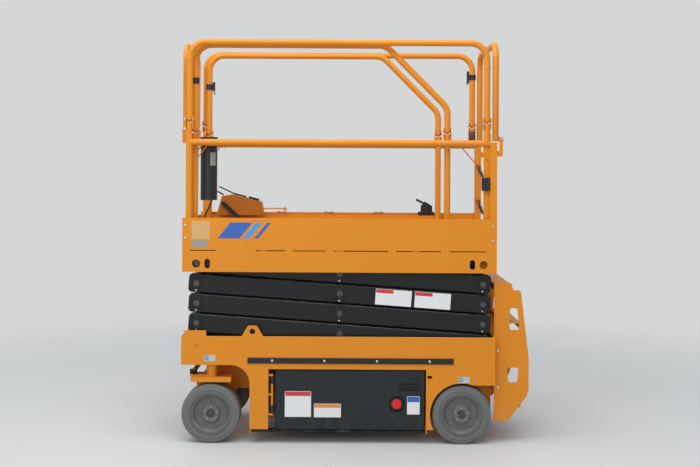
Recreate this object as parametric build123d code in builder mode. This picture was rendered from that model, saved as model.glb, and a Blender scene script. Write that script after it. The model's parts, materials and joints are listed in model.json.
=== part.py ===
"""Compact electric scissor lift with a roll-out deck extension.

Frame: millimetres, +Z up, floor at z = 0.  The steered front end points to -X,
the ladder end to +X, the machine's left side to -Y.  The origin is on the
floor, below the middle of the stowed machine.
"""
from build123d import *
from math import asin, cos, hypot, radians, sin, sqrt
import os

os.makedirs("parts", exist_ok=True)

# ---------------------------------------------------------------- driving sizes
half_width = 380             # over the rubbing strips
plate = 8                    # chassis plate
strip = 6                    # rubbing strip
running_gap = 6              # between pieces that move past each other
seat_gap = 0.3               # between pieces that are bolted on
pin_gap = 0.5                # radial clearance of a pin in its bore

# scissor stack
arm_l = 1560                 # pivot to pivot
arm_h = 100
arm_w = 50
arm_gap = 8                  # between outer and inner arm
arm_end = 44                 # beyond the pivot, where an end is square
pitch = 108                  # rise of one stowed layer
layers = 4
base_x = 692                 # fixed pivots, at the ladder end
base_z = 540
shaft_r = 20
boss_r = 30
boss_out = 8
roller_r = 30
track_w = 38

# chassis, measured from the base pivots
nose_reach = 78              # sliding pivots to the front face
tail_reach = 66              # fixed pivots to the rear face
side_rise = 40               # top of the side plates above the pivots
deck_drop = 60               # deck below the pivots
deck_t = 10
front_beam_h = 156           # side plate over the steered wheels
rear_beam_h = 260            # side plate behind the rear wheels
leg_low_z = 78               # ground clearance of the compartments
tunnel_half_w = 110

# wheels
wheel_r = 159
wheel_w = 105
wheel_inset = 2.5            # outer face of a wheel behind the side plate
front_overhang = 160         # front face to the steered wheels
rear_overhang = 180          # rear face to the rear wheels
rim_r = 112
axle_r = 22
steer_arm = 100              # kingpin to tie rod pin
kingpin_r = 20

# lift cylinder: barrel pin in the chassis, rod eye on the first inner arms
barrel_pin_back = 169        # ahead of the fixed pivots
barrel_pin_drop = 128
rod_pin_u = 839              # along the arm from its lower pivot
rod_pin_v = 58               # above the arm's centre line
barrel_r = 55
rod_r = 30
stroke_room = 120            # rod tail above the barrel pin when closed

# platform
deck_rise = 98               # walking surface above the top pivots
skirt_drop = 45              # lower edge of the side panels below the top pivots
toe_h = 150
skirt = 4                    # side panel thickness
sheet = 5                    # floor thickness

# guard rails, heights above the walking surface
tube_d = 35
rail_top_h = 1105
rail_mid_h = 560
main_hinge_h = 685
rear_hinge_h = 585
bend_r = 90
ear_t = 3
ear_gap = 0.5
bolt_r = 6
gate_w = 38                  # width of the entry gate posts

# roll-out deck
ext_inset = 48               # its rails inside the main rails
ext_deck_gap = 6
ext_hinge_drop = 55          # its folding hinges below the main ones
ext_top_drop = 10
cross_d = 25                 # tube of the folding front frame

# ---------------------------------------------------------------- derived places
span = sqrt(arm_l**2 - pitch**2)              # stowed horizontal pivot distance
roll_x = base_x - span                        # stowed place of the sliding pivots
tilt = asin(pitch / arm_l)                    # stowed arm angle
top_z = base_z + layers * pitch               # platform pivots

front_x = roll_x - nose_reach
rear_x = base_x + tail_reach
chassis_top_z = base_z + side_rise
deck_top_z = base_z - deck_drop
deck_low_z = deck_top_z - deck_t
beam_low_z = chassis_top_z - front_beam_h
rear_low_z = chassis_top_z - rear_beam_h

side_out = half_width - strip
side_in = side_out - plate
outer_y = side_in - 10 - boss_out - arm_w     # inner face of the outer arms
inner_y = outer_y - arm_gap - arm_w           # inner face of the inner arms
track_y = inner_y - 4 - track_w

wheel_front_x = front_x + front_overhang
wheel_rear_x = rear_x - rear_overhang
wheel_y = side_out - wheel_inset - wheel_w / 2
wheel_in_y = wheel_y - wheel_w / 2

barrel_pin_x = base_x - barrel_pin_back
barrel_pin_z = base_z - barrel_pin_drop

deck_z = top_z + deck_rise
skirt_low_z = top_z - skirt_drop
toe_top_z = deck_z + toe_h
deck_half_w = half_width - 10
deck_front_x = front_x + 2
deck_rear_x = rear_x + 6
rail_y = deck_half_w - skirt - tube_d / 2 - 0.5
rail_top_z = deck_z + rail_top_h
rail_mid_z = deck_z + rail_mid_h
main_hinge_z = deck_z + main_hinge_h
main_post_front_x = deck_front_x + 32
main_post_rear_x = deck_rear_x - 55
gate_x = deck_rear_x - gate_w

ext_rail_y = rail_y - ext_inset
ext_half_w = deck_half_w - 12
ext_wall_y = ext_half_w - 36
ext_post_front_x = main_post_front_x + 26
ext_rear_x = deck_rear_x - 265
ext_hinge_z = main_hinge_z - ext_hinge_drop
ext_top_z = rail_top_z - ext_top_drop
cross_x = main_post_front_x - tube_d / 2 - running_gap - cross_d / 2

sides = (("left", -1), ("right", 1))


# ---------------------------------------------------------------- helpers
def save(piece, name):
    piece.part.label = name
    export_step(piece.part, f"parts/{name}.step")


def slab(x0, x1, y0, y1, z0, z1, mode=Mode.ADD):
    """A straight plate or bar between two opposite corners."""
    with Locations(((x0 + x1) / 2, (y0 + y1) / 2, (z0 + z1) / 2)):
        Box(abs(x1 - x0), abs(y1 - y0), abs(z1 - z0), mode=mode)


def both_sides(x0, x1, y0, y1, z0, z1, mode=Mode.ADD):
    """The same slab on the left and right sides, y given as a distance."""
    slab(x0, x1, -y1, -y0, z0, z1, mode)
    slab(x0, x1, y0, y1, z0, z1, mode)


def rod_y(x, z, r, y0, y1, mode=Mode.ADD):
    """A round bar along Y."""
    with Locations(Location((x, (y0 + y1) / 2, z), (90, 0, 0))):
        Cylinder(r, abs(y1 - y0), mode=mode)


def rod_x(y, z, r, x0, x1, mode=Mode.ADD):
    """A round bar along X."""
    with Locations(Location(((x0 + x1) / 2, y, z), (0, 90, 0))):
        Cylinder(r, abs(x1 - x0), mode=mode)


def rod_z(x, y, r, z0, z1, mode=Mode.ADD):
    """A round bar along Z."""
    with Locations((x, y, (z0 + z1) / 2)):
        Cylinder(r, abs(z1 - z0), mode=mode)


def panel(points, y0, y1, rounding=0, mode=Mode.ADD):
    """A plate with an outline of (x, z) points, from y0 to y1."""
    with BuildSketch(Plane.XZ.offset(-y0)) as outline:
        with BuildLine():
            Polyline(*points, close=True)
        make_face()
        if rounding:
            fillet(outline.vertices(), rounding)
    extrude(outline.sketch, amount=y0 - y1, mode=mode)


def slot_y(x, z, length, width, y0, y1, mode=Mode.SUBTRACT, angle=0):
    """A slot with round ends through y0 to y1, its length along X before it is turned."""
    with BuildSketch(Plane.XZ.offset(-y0)) as outline:
        with Locations((x, z)):
            SlotOverall(length, width, rotation=angle)
    extrude(outline.sketch, amount=y0 - y1, mode=mode)


def bent_tube(points, bend=bend_r, d=tube_d):
    """A round tube along straight runs joined by bends."""
    with BuildLine():
        route = FilletPolyline(*points, radius=bend)
    with BuildSketch(Plane(origin=route @ 0, z_dir=route % 0)) as section:
        Circle(d / 2)
    sweep(section.sketch, path=route)


def straight_tube(start, end, d):
    """A round bar between two points."""
    with BuildLine():
        route = Line(start, end)
    with BuildSketch(Plane(origin=start, z_dir=route % 0)) as section:
        Circle(d / 2)
    sweep(section.sketch, path=route)


# ---------------------------------------------------------------- chassis
leg_front_x = front_x + 371  # front edge of the compartments
door_front_x = leg_front_x + 102
door_rear_x = wheel_rear_x - 194
door_top_z = leg_low_z + 325
arch_r = wheel_r + 13        # rear wheel arch
arch_corner = 103            # rounded corner of the front arch
axle_plate_y = wheel_in_y - 30.5
axle_plate_t = 12
kingpin_boss_r = 40
bracket_y = inner_y + 22     # base pivot brackets
bracket_t = 20
slot_half_w = barrel_r + 25  # deck slot and bulkhead notch for the lift cylinder
slot_front_x = barrel_pin_x - 323
slot_rear_x = barrel_pin_x + 117
notch_low_z = barrel_pin_z - 62
track_z = base_z - roller_r - seat_gap
track_run = 805              # length of the roller tracks

with BuildPart() as chassis:
    # deck between the side plates, slotted for the lift cylinder
    slab(front_x, rear_x, -side_in, side_in, deck_low_z, deck_top_z)
    slab(slot_front_x, slot_rear_x, -slot_half_w, slot_half_w, deck_low_z, deck_top_z, Mode.SUBTRACT)
    # end plates and the closing plate over the steered wheels
    slab(front_x, front_x + plate, -side_in, side_in, beam_low_z, chassis_top_z)
    slab(rear_x - plate, rear_x, -side_in, side_in, rear_low_z, chassis_top_z)
    slab(front_x, leg_front_x, -side_in, side_in, beam_low_z, beam_low_z + plate)
    # kingpin bosses
    for name, side in sides:
        rod_z(wheel_front_x, side * wheel_y, kingpin_boss_r, beam_low_z, deck_low_z)
        rod_z(wheel_front_x, side * wheel_y, kingpin_r + pin_gap, beam_low_z, deck_top_z, Mode.SUBTRACT)
    # roller tracks and base pivot brackets
    both_sides(roll_x - 45, roll_x - 45 + track_run, track_y, track_y + track_w, deck_top_z, track_z)
    for name, side in sides:
        y0 = side * bracket_y
        y1 = side * (bracket_y + bracket_t)
        slab(base_x - 45, base_x + 45, y0, y1, deck_top_z, base_z)
        rod_y(base_x, base_z, 45, y0, y1)
        rod_y(base_x, base_z, shaft_r + pin_gap, y0, y1, Mode.SUBTRACT)
save(chassis, "chassis")

# side plates with both wheel arches, the door opening and a tie-down lug each
lug_x = front_x + 385
lug_h = 58
lug_hole_r = 15
lug_hole_z = chassis_top_z + lug_h * 0.45
arch_end_x = wheel_rear_x + sqrt(arch_r**2 - (rear_low_z - wheel_r)**2)
arch_leg_x = wheel_rear_x - sqrt(arch_r**2 - (wheel_r - leg_low_z)**2)
corner_x = leg_front_x - arch_corner
corner_z = beam_low_z - arch_corner

with BuildPart() as side_plates:
    with BuildSketch(Plane.XZ.offset(side_in)):
        with BuildLine():
            Polyline(
                (corner_x, beam_low_z),
                (front_x, beam_low_z),
                (front_x, chassis_top_z),
                (rear_x, chassis_top_z),
                (rear_x, rear_low_z),
                (arch_end_x, rear_low_z),
            )
            ThreePointArc(
                (arch_end_x, rear_low_z),
                (wheel_rear_x - arch_r * sin(radians(30)), wheel_r + arch_r * cos(radians(30))),
                (arch_leg_x, leg_low_z),
            )
            Polyline(
                (arch_leg_x, leg_low_z),
                (door_rear_x, leg_low_z),
                (door_rear_x, door_top_z),
                (door_front_x, door_top_z),
                (door_front_x, leg_low_z),
                (leg_front_x, leg_low_z),
                (leg_front_x, corner_z),
            )
            ThreePointArc(
                (leg_front_x, corner_z),
                (corner_x + arch_corner * sin(radians(45)), corner_z + arch_corner * cos(radians(45))),
                (corner_x, beam_low_z),
            )
        make_face()
    extrude(amount=plate)
    # tie-down lug on the top edge
    with BuildSketch(Plane.XZ.offset(side_in)):
        with Locations((lug_x, chassis_top_z + lug_h / 2)):
            Trapezoid(2 * lug_h, lug_h, 60)
        fillet(vertices().group_by(Axis.Y)[-1], 18)
        with Locations((lug_x, lug_hole_z)):
            Circle(lug_hole_r, mode=Mode.SUBTRACT)
    extrude(amount=plate)
    # short slot behind the door
    slot_y(door_rear_x + 20, door_top_z - 40, 27, 16, -side_in, -side_out)
    mirror(about=Plane.XZ)
    # stop brackets on the front corners
    both_sides(front_x + 16, front_x + 135, side_in, side_out, chassis_top_z, chassis_top_z + 30)
save(side_plates, "side_plates")

# bulkheads in front of and behind the side compartments, with the guard lugs
guard_y = side_in - 21       # hinge line of the pothole guards
guard_z = leg_low_z - 14
guard_w = 46
guard_t = 10
guard_pin_r = 7
with BuildPart() as bulkheads:
    for x in (leg_front_x, door_rear_x):
        slab(x, x + plate, -side_in, side_in, leg_low_z, beam_low_z if x < 0 else deck_low_z)
        for name, side in sides:
            y = side * guard_y
            slab(x, x + plate, y - 12, y + 12, guard_z - 12, leg_low_z)
            rod_x(y, guard_z, guard_pin_r + pin_gap, x, x + plate, Mode.SUBTRACT)
    slab(door_rear_x, door_rear_x + plate, -slot_half_w, slot_half_w, notch_low_z, deck_low_z, Mode.SUBTRACT)
save(bulkheads, "bulkheads")

# nose between the steered wheels, and the tunnel between the compartments
motor_l = 47
knuckle_y = wheel_in_y - 54.5                 # inner face of the knuckle plate
nose_y = knuckle_y - motor_l - 35
nose_low_z = beam_low_z - 174
nose_front_x = wheel_front_x - 48
tunnel_front_x = leg_front_x + plate
with BuildPart() as underframe:
    both_sides(nose_front_x, leg_front_x, nose_y - plate, nose_y, nose_low_z, beam_low_z)
    slab(nose_front_x, nose_front_x + plate, -nose_y, nose_y, nose_low_z, beam_low_z)
    slab(nose_front_x, leg_front_x, -nose_y, nose_y, nose_low_z, nose_low_z + plate)
    both_sides(tunnel_front_x, door_rear_x, tunnel_half_w, tunnel_half_w + plate, leg_low_z, deck_low_z)
    slab(tunnel_front_x, door_rear_x, -tunnel_half_w, tunnel_half_w, leg_low_z, leg_low_z + plate)
save(underframe, "underframe")

# plates that carry the rear stub axles, joined by the barrel pin
barrel_pin_r = 18
with BuildPart() as axle_carriers:
    x0 = door_rear_x + plate
    both_sides(x0, rear_x - plate, axle_plate_y, axle_plate_y + axle_plate_t, 90, deck_low_z)
    rod_y(barrel_pin_x, barrel_pin_z, barrel_pin_r, -axle_plate_y, axle_plate_y)
save(axle_carriers, "axle_carriers")

axle_flange_y = axle_plate_y + axle_plate_t
with BuildPart() as rear_stub_axles:
    for name, side in sides:
        rod_y(wheel_rear_x, wheel_r, axle_r, side * axle_flange_y, side * (wheel_y + 25))
        rod_y(wheel_rear_x, wheel_r, 45, side * axle_flange_y, side * (axle_flange_y + 8))
save(rear_stub_axles, "rear_stub_axles")

with BuildPart() as rub_strips:
    both_sides(leg_front_x - 11, rear_x - 226, side_out, half_width, beam_low_z + 10, beam_low_z + 41)
save(rub_strips, "rub_strips")

# ---------------------------------------------------------------- ladder
ladder_y = half_width - 60
ladder_t = 6
ladder_low_z = leg_low_z + 40
ladder_top_z = skirt_low_z - 55
# outline of a side: reach behind the chassis, height above its lower corner
ladder_outline = (
    (0, 0), (0, ladder_top_z - ladder_low_z), (92, ladder_top_z - ladder_low_z),
    (104, ladder_top_z - ladder_low_z - 42), (145, ladder_top_z - ladder_low_z - 42),
    (190, 338), (190, 171), (179, 133), (76, 0),
)
# hand holes, the upper one measured down from the top
upper_hole = ((87, -140), (127, -140), (138, -259), (79, -259))
lower_hole = ((71, 290), (136, 290), (127, 209), (80, 209))
tread_pitch = 215
tread_lip = 34
tread_d = 90
tread_reach = (88, 147, 177, 147)             # rear edges of the treads, from the top
with BuildPart() as ladder:
    for name, side in sides:
        y0 = side * (ladder_y - ladder_t)
        y1 = side * ladder_y
        with BuildSketch(Plane.XZ.offset(-y0)) as outline:
            with BuildLine():
                Polyline(*[(rear_x + x, ladder_low_z + z) for x, z in ladder_outline], close=True)
            make_face()
            fillet(outline.vertices().sort_by(Axis.X)[2:], 10)
        extrude(outline.sketch, amount=y0 - y1)
        panel([(rear_x + x, ladder_top_z + z) for x, z in upper_hole], y0, y1, 12, Mode.SUBTRACT)
        panel([(rear_x + x, ladder_low_z + z) for x, z in lower_hole], y0, y1, 12, Mode.SUBTRACT)
    tread_z = ladder_top_z - 6
    inside = ladder_y - ladder_t
    for reach in tread_reach:
        x = rear_x + reach
        slab(x - tread_d, x, -inside, inside, tread_z - 4, tread_z)
        slab(x - 4, x, -inside, inside, tread_z - tread_lip, tread_z)
        slab(x - tread_d, x - tread_d + 4, -inside, inside, tread_z - tread_lip, tread_z)
        tread_z -= tread_pitch
save(ladder, "ladder")


# ---------------------------------------------------------------- wheels
class Holder:
    """Gives a finished solid the same .part as a builder."""

    def __init__(self, part):
        self.part = part


def placed_wheel(piece, x, side):
    """Place a wheel piece, modelled for the left side, on either side."""
    part = piece.part if side < 0 else piece.part.mirror(Plane.XZ)
    return Holder(Location((x, side * wheel_y, wheel_r)) * part)


def tyre(x, side):
    """Solid tyre."""
    with BuildPart() as piece:
        with BuildSketch(Plane.XY):
            with Locations(((rim_r + wheel_r) / 2, 0)):
                Rectangle(wheel_r - rim_r, wheel_w)
        revolve(axis=Axis.Y)
    return placed_wheel(piece, x, side)


def rim(x, side):
    """Dished disc; its outer face is turned to the outside of the machine."""
    bore = axle_r + pin_gap
    with BuildPart() as piece:
        with BuildSketch(Plane.XY):
            with BuildLine():
                Polyline(
                    (bore, 18), (bore, -40), (46, -40), (52, -24), (88, -24),
                    (98, -44), (rim_r, -46), (rim_r, 46), (100, 46), (92, -8), (58, -8), (52, 18),
                    close=True,
                )
            make_face()
        revolve(axis=Axis.Y)
    return placed_wheel(piece, x, side)


for end, x in (("front", wheel_front_x), ("rear", wheel_rear_x)):
    for name, side in sides:
        save(tyre(x, side), f"tyre_{end}_{name}")
        save(rim(x, side), f"rim_{end}_{name}")

# ---------------------------------------------------------------- steering
yoke_t = 26
yoke_top_z = beam_low_z - 68
yoke_low_z = yoke_top_z - yoke_t
knuckle_t = 16
tie_z = yoke_top_z + 22
tie_pin_r = 8
tie_x = wheel_front_x - steer_arm


def knuckle(side):
    """Yoke over the wheel with its kingpin, knuckle plate, axle and steering arm."""
    y = side * wheel_y
    inner = side * knuckle_y
    with BuildPart() as piece:
        slab(wheel_front_x - 109, wheel_front_x + 109, side * side_in, inner, yoke_low_z, yoke_top_z)
        tapered = (
            (wheel_front_x - 100, yoke_low_z), (wheel_front_x + 100, yoke_low_z),
            (wheel_front_x + 75, wheel_r - 29), (wheel_front_x - 75, wheel_r - 29),
        )
        panel(tapered, inner, inner + side * knuckle_t)
        rod_z(wheel_front_x, y, 29, yoke_top_z, beam_low_z - 2)
        rod_z(wheel_front_x, y, kingpin_r, yoke_top_z, deck_low_z)
        # steering arm with its pin
        with BuildSketch(Plane.XY.offset(yoke_top_z)):
            with Locations((wheel_front_x - steer_arm / 2, y)):
                SlotCenterToCenter(steer_arm, 40)
        extrude(amount=10)
        rod_z(tie_x, y, tie_pin_r, yoke_top_z, tie_z + 18)
        rod_y(wheel_front_x, wheel_r, axle_r, inner, side * (wheel_y + 25))
    return piece


def drive_motor(side):
    """Hub motor on the inner face of the knuckle, with a ribbed body."""
    flange = knuckle_y - 10
    with BuildPart() as piece:
        rod_y(wheel_front_x, wheel_r, 48, side * (knuckle_y - motor_l), side * flange)
        for step in (0, 12, 24):
            rod_y(wheel_front_x, wheel_r, 52, side * (flange - 9 - step), side * (flange - 4 - step))
        rod_y(wheel_front_x, wheel_r, 60, side * flange, side * knuckle_y)
    return piece


for name, side in sides:
    save(knuckle(side), f"knuckle_{name}")
    save(drive_motor(side), f"drive_motor_{name}")

with BuildPart() as tie_rod:
    rod_y(tie_x, tie_z, 12, 15 - wheel_y, wheel_y - 15)
    for name, side in sides:
        rod_z(tie_x, side * wheel_y, 20, tie_z - 11, tie_z + 13)
        rod_z(tie_x, side * wheel_y, tie_pin_r + pin_gap, tie_z - 12, tie_z + 14, Mode.SUBTRACT)
save(tie_rod, "tie_rod")

# ---------------------------------------------------------------- side modules
module_hinge_x = door_front_x + 19
door_t = 20
door_out = side_out - running_gap
door_in = door_out - door_t
module_hinge_y = door_out - 8
hinge_pin_r = 6
door_x0 = module_hinge_x + 18
door_x1 = door_rear_x - running_gap
door_z0 = leg_low_z
door_z1 = door_top_z - running_gap
tray_y = tunnel_half_w + 52
tray_z = leg_low_z + 6
tray_t = 8
stop_x = door_x1 - 153       # emergency stop
stop_z = door_z0 + 140
stop_pocket = 14
latch_x = door_x1 - 84       # door latch
latch_z = door_z1 - 89


def module_door(side):
    """Hinged side door with the tray that swings out with it."""
    outer = side * door_out
    with BuildPart() as piece:
        slab(door_x0, door_x1, side * door_in, outer, door_z0, door_z1)
        upright = piece.edges().filter_by(Axis.Z).sort_by(Axis.Y)
        fillet(upright[:2] if side < 0 else upright[-2:], 8)
        slab(door_x0 + 12, door_x1 - 56, side * tray_y, side * door_in, tray_z, tray_z + tray_t)
        for z in (door_z0 + 106, door_z1 - 54):
            slab(module_hinge_x, door_x0 + 10, side * door_in, side * (door_in + 6), z - 20, z + 20)
            y = side * module_hinge_y
            rod_z(module_hinge_x, y, 11, z - 20, z + 20)
            rod_z(module_hinge_x, y, hinge_pin_r + pin_gap, z - 21, z + 21, Mode.SUBTRACT)
        # shallow pockets of the latch and, on the left, the stop button
        slot_y(latch_x, latch_z, 110, 40, outer, outer - side * 6)
        if side < 0:
            rod_y(stop_x, stop_z, 48, outer, outer + stop_pocket, Mode.SUBTRACT)
    return piece


def module_pack(side, length, height):
    """Batteries or hydraulic unit as one plain block on the tray."""
    z = tray_z + tray_t
    with BuildPart() as piece:
        slab(door_x0 + 20, door_x0 + 20 + length, side * (tray_y + 4), side * (door_in - 4), z, z + height)
    return piece


def door_latch(side):
    """Black paddle latch in its pocket."""
    floor = side * (door_out - 6)
    face = side * (door_out - 2)
    with BuildPart() as piece:
        slot_y(latch_x, latch_z, 106, 36, floor, face, Mode.ADD)
        slab(latch_x - 36, latch_x + 24, face, side * (door_out + 2), latch_z - 11, latch_z + 11)
    return piece


for name, side, length, height in (("battery", -1, 700, 270), ("hydraulic", 1, 560, 220)):
    save(module_door(side), f"{name}_door")
    save(module_pack(side, length, height), f"{name}_pack")
    save(door_latch(side), f"{name}_latch")

with BuildPart() as module_hinges:
    for name, side in sides:
        rod_z(module_hinge_x, side * module_hinge_y, hinge_pin_r, door_z0 + 72, door_z1 - 22)
        for z in (door_z0 + 80, door_z0 + 186, door_z1 - 28):
            slab(door_front_x - 20, module_hinge_x + 6, side * side_in, side * (side_in - 12), z - 5, z + 5)
save(module_hinges, "module_hinges")

with BuildPart() as emergency_stop:
    pocket_floor = stop_pocket - door_out
    rod_y(stop_x, stop_z, 38, pocket_floor, pocket_floor - 6)
    rod_y(stop_x, stop_z, 16, pocket_floor - 6, pocket_floor - 16)
    rod_y(stop_x, stop_z, 27, pocket_floor - 16, pocket_floor - 25)
    fillet(emergency_stop.edges().sort_by(Axis.Y)[0], 4)
save(emergency_stop, "emergency_stop")


def pothole_guard(side):
    """Bar that swings down under the compartments, with its hinge rod."""
    y = side * guard_y
    low = guard_z - guard_t / 2
    with BuildPart() as piece:
        slab(leg_front_x + 20, door_rear_x - 14, y, y - side * guard_w, low, low + guard_t)
        rod_x(y, guard_z, guard_pin_r, leg_front_x, door_rear_x + plate)
    return piece


for name, side in sides:
    save(pothole_guard(side), f"pothole_guard_{name}")


# ---------------------------------------------------------------- scissor arms
def arm_plane(kind, layer):
    """Plane of an arm: origin on its left pivot, x along the arm, normal -Y."""
    low = base_z + (layer - 1) * pitch
    if kind == "inner":
        return Plane(origin=(roll_x, 0, low), x_dir=(cos(tilt), 0, sin(tilt)), z_dir=(0, -1, 0))
    return Plane(origin=(roll_x, 0, low + pitch), x_dir=(cos(tilt), 0, -sin(tilt)), z_dir=(0, -1, 0))


cross_tube_r = 26
cross_tube_u = 160           # cross tubes, in from the end pivots
ear_y = 36                   # inner face of the rod eye's ears
ear_w = 12


def outer_pair(layer):
    """Outer arms of one layer with their end shafts and middle stub pins."""
    base = arm_plane("outer", layer)
    with BuildPart() as piece:
        # square ends, but round ones where the arm turns on the chassis or under the deck
        with BuildSketch(base.offset(outer_y)):
            with Locations((arm_l / 2, 0)):
                Rectangle(arm_l, arm_h)
            for u, away, square in ((0, -1, layer < layers), (arm_l, 1, layer > 1)):
                if square:
                    with Locations((u + away * (arm_end - arm_h) / 2, 0)):
                        RectangleRounded(arm_end + arm_h, arm_h, 20)
                else:
                    with Locations((u, 0)):
                        Circle(arm_h / 2)
        extrude(amount=arm_w)
        chamfer(piece.faces().sort_by(Axis.Y)[0].edges(), 5)
        # bosses with the pin ends sunk in them
        with BuildSketch(base.offset(outer_y + arm_w)):
            with Locations((0, 0), (arm_l / 2, 0), (arm_l, 0)):
                Circle(boss_r)
        extrude(amount=boss_out)
        with BuildSketch(base.offset(outer_y + arm_w + boss_out)):
            with Locations((0, 0), (arm_l / 2, 0), (arm_l, 0)):
                Circle(boss_r - 11)
        extrude(amount=-6, mode=Mode.SUBTRACT)
        with BuildSketch(base.offset(outer_y)):
            with Locations((arm_l / 2, 0)):
                Circle(shaft_r)
        extrude(amount=-(arm_gap + arm_w + 6))
        mirror(about=Plane.XZ)
        with BuildSketch(base.offset(-outer_y)):
            with Locations((0, 0), (arm_l, 0)):
                Circle(shaft_r)
        extrude(amount=2 * outer_y)
        if layer == layers:
            for y in (track_y + 1, 1 - track_y - track_w):
                with BuildSketch(base.offset(y)):
                    Circle(roller_r)
                extrude(amount=track_w - 2)
    return piece


def inner_pair(layer):
    """Inner arms of one layer with their cross tubes; the first carries the cylinder's ears."""
    base = arm_plane("inner", layer)
    with BuildPart() as piece:
        with BuildSketch(base.offset(inner_y)):
            with Locations((arm_l / 2, 0)):
                SlotCenterToCenter(arm_l, arm_h)
        extrude(amount=arm_w)
        with BuildSketch(base.offset(inner_y)):
            places = [(arm_l / 2, 0), (arm_l, 0)] if layer == 1 else [(0, 0), (arm_l / 2, 0), (arm_l, 0)]
            with Locations(*places):
                Circle(shaft_r + pin_gap)
        extrude(amount=arm_w, mode=Mode.SUBTRACT)
        mirror(about=Plane.XZ)
        with BuildSketch(base.offset(-inner_y)):
            with Locations((cross_tube_u, 0), (arm_l - cross_tube_u, 0)):
                Circle(cross_tube_r)
            if layer == 1:
                with Locations((rod_pin_u - 128, -8)):
                    Circle(30)
                Circle(shaft_r)
        extrude(amount=2 * inner_y)
        if layer == 1:
            for y in (ear_y, -ear_y - ear_w):
                with BuildSketch(base.offset(y)):
                    with BuildLine():
                        Polyline(
                            (rod_pin_u - 128, -38),
                            (rod_pin_u - 20, -38),
                            (rod_pin_u + 40, rod_pin_v - 20),
                            (rod_pin_u + 40, rod_pin_v + 30),
                            (rod_pin_u - 40, rod_pin_v + 30),
                            (rod_pin_u - 128, 22),
                            close=True,
                        )
                    make_face()
                extrude(amount=ear_w)
            for y in (track_y + 1, 1 - track_y - track_w):
                with BuildSketch(base.offset(y)):
                    Circle(roller_r)
                extrude(amount=track_w - 2)
    return piece


for layer in range(1, layers + 1):
    save(outer_pair(layer), f"outer_arms_{layer}")
    save(inner_pair(layer), f"inner_arms_{layer}")

# ---------------------------------------------------------------- lift cylinder
rod_pin = arm_plane("inner", 1).from_local_coords((rod_pin_u, rod_pin_v, 0))
closed = hypot(rod_pin.X - barrel_pin_x, rod_pin.Z - barrel_pin_z)
lie = Plane(
    origin=(barrel_pin_x, 0, barrel_pin_z),
    x_dir=(0, 1, 0),
    z_dir=(rod_pin.X - barrel_pin_x, 0, rod_pin.Z - barrel_pin_z),
)
barrel_low = 32              # barrel pin to the foot of the tube
barrel_floor = 70            # barrel pin to the bottom of the bore
barrel_end = closed - 95
eye_half_w = 30

with BuildPart() as lift_barrel:
    with BuildSketch(lie.offset(barrel_low)):
        Circle(barrel_r)
    extrude(amount=barrel_end - barrel_low)
    # gland nut
    with BuildSketch(lie.offset(barrel_end - 40)):
        Circle(barrel_r + 6)
    extrude(amount=40)
    with BuildSketch(lie.offset(barrel_floor)):
        Circle(rod_r + 2)
    extrude(amount=barrel_end - barrel_floor, mode=Mode.SUBTRACT)
    rod_y(barrel_pin_x, barrel_pin_z, 38, -eye_half_w, eye_half_w)
    rod_y(barrel_pin_x, barrel_pin_z, barrel_pin_r + pin_gap, -barrel_r, barrel_r, Mode.SUBTRACT)
save(lift_barrel, "lift_barrel")

with BuildPart() as lift_rod:
    with BuildSketch(lie.offset(stroke_room)):
        Circle(rod_r)
    extrude(amount=closed - stroke_room - 20)
    rod_y(rod_pin.X, rod_pin.Z, 36, -25, 25)
    rod_y(rod_pin.X, rod_pin.Z, 18, seat_gap - ear_y, ear_y - seat_gap)
save(lift_rod, "lift_rod")

# ---------------------------------------------------------------- platform
slide_track_z = top_z + roller_r + seat_gap
bearer_z = slide_track_z + 28
lip_z = deck_z + 18
lip_t = 4
floor_low_z = deck_z - sheet
panel_in = deck_half_w - skirt
top_bracket_w = 80
with BuildPart() as platform:
    slab(deck_front_x, deck_rear_x, -panel_in, panel_in, floor_low_z, deck_z)
    # cross bearers and roller tracks
    bearer_w = 40
    bearers = 5
    bearer_step = (deck_rear_x - deck_front_x - bearer_w - 8) / (bearers - 1)
    for n in range(bearers):
        x = deck_front_x + 4 + n * bearer_step
        slab(x, x + bearer_w, -panel_in, panel_in, bearer_z, floor_low_z)
    both_sides(roll_x - 60, roll_x - 60 + track_run, track_y, track_y + track_w, slide_track_z, floor_low_z)
    # rear sill
    slab(deck_rear_x - skirt, deck_rear_x, -panel_in, panel_in, skirt_low_z, deck_z)
    # brackets and pins of the top pivots
    for name, side in sides:
        y0 = side * outer_y
        y1 = side * (outer_y + 12)
        slab(base_x - top_bracket_w / 2, base_x + top_bracket_w / 2, y0, y1, top_z, floor_low_z)
        rod_y(base_x, top_z, top_bracket_w / 2, y0, y1)
        rod_y(base_x, top_z, shaft_r, side * (inner_y - 4), y1)
save(platform, "platform")

# side panels: skirt and toe board in one, slotted for the floor's tabs, with the
# lips that hold the roll-out deck down
tab_z = top_z + 71
tab_slots = ((-829, 140), (-462, 162), (-254, 178), (27, 297), (340, 243), (607, 195))  # centre, length
with BuildPart() as side_panels:
    for name, side in sides:
        y0 = side * panel_in
        y1 = side * deck_half_w
        slab(deck_front_x, deck_rear_x, y0, y1, skirt_low_z, toe_top_z)
        slab(deck_front_x, ext_rear_x + 61, side * (panel_in - 36), y0, lip_z, lip_z + lip_t)
        # tab slots, and access holes in line with the top pivots
        for x, length in tab_slots:
            slab(x - length / 2, x + length / 2, y0, y1, tab_z - 2.5, tab_z + 2.5, Mode.SUBTRACT)
        for x, away in ((roll_x, 1), (base_x, -1)):
            rod_y(x, top_z, 22, y0, y1, Mode.SUBTRACT)
            slot_y(x + away * 60, top_z, 52, 30, y0, y1, angle=90)
save(side_panels, "side_panels")


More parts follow.
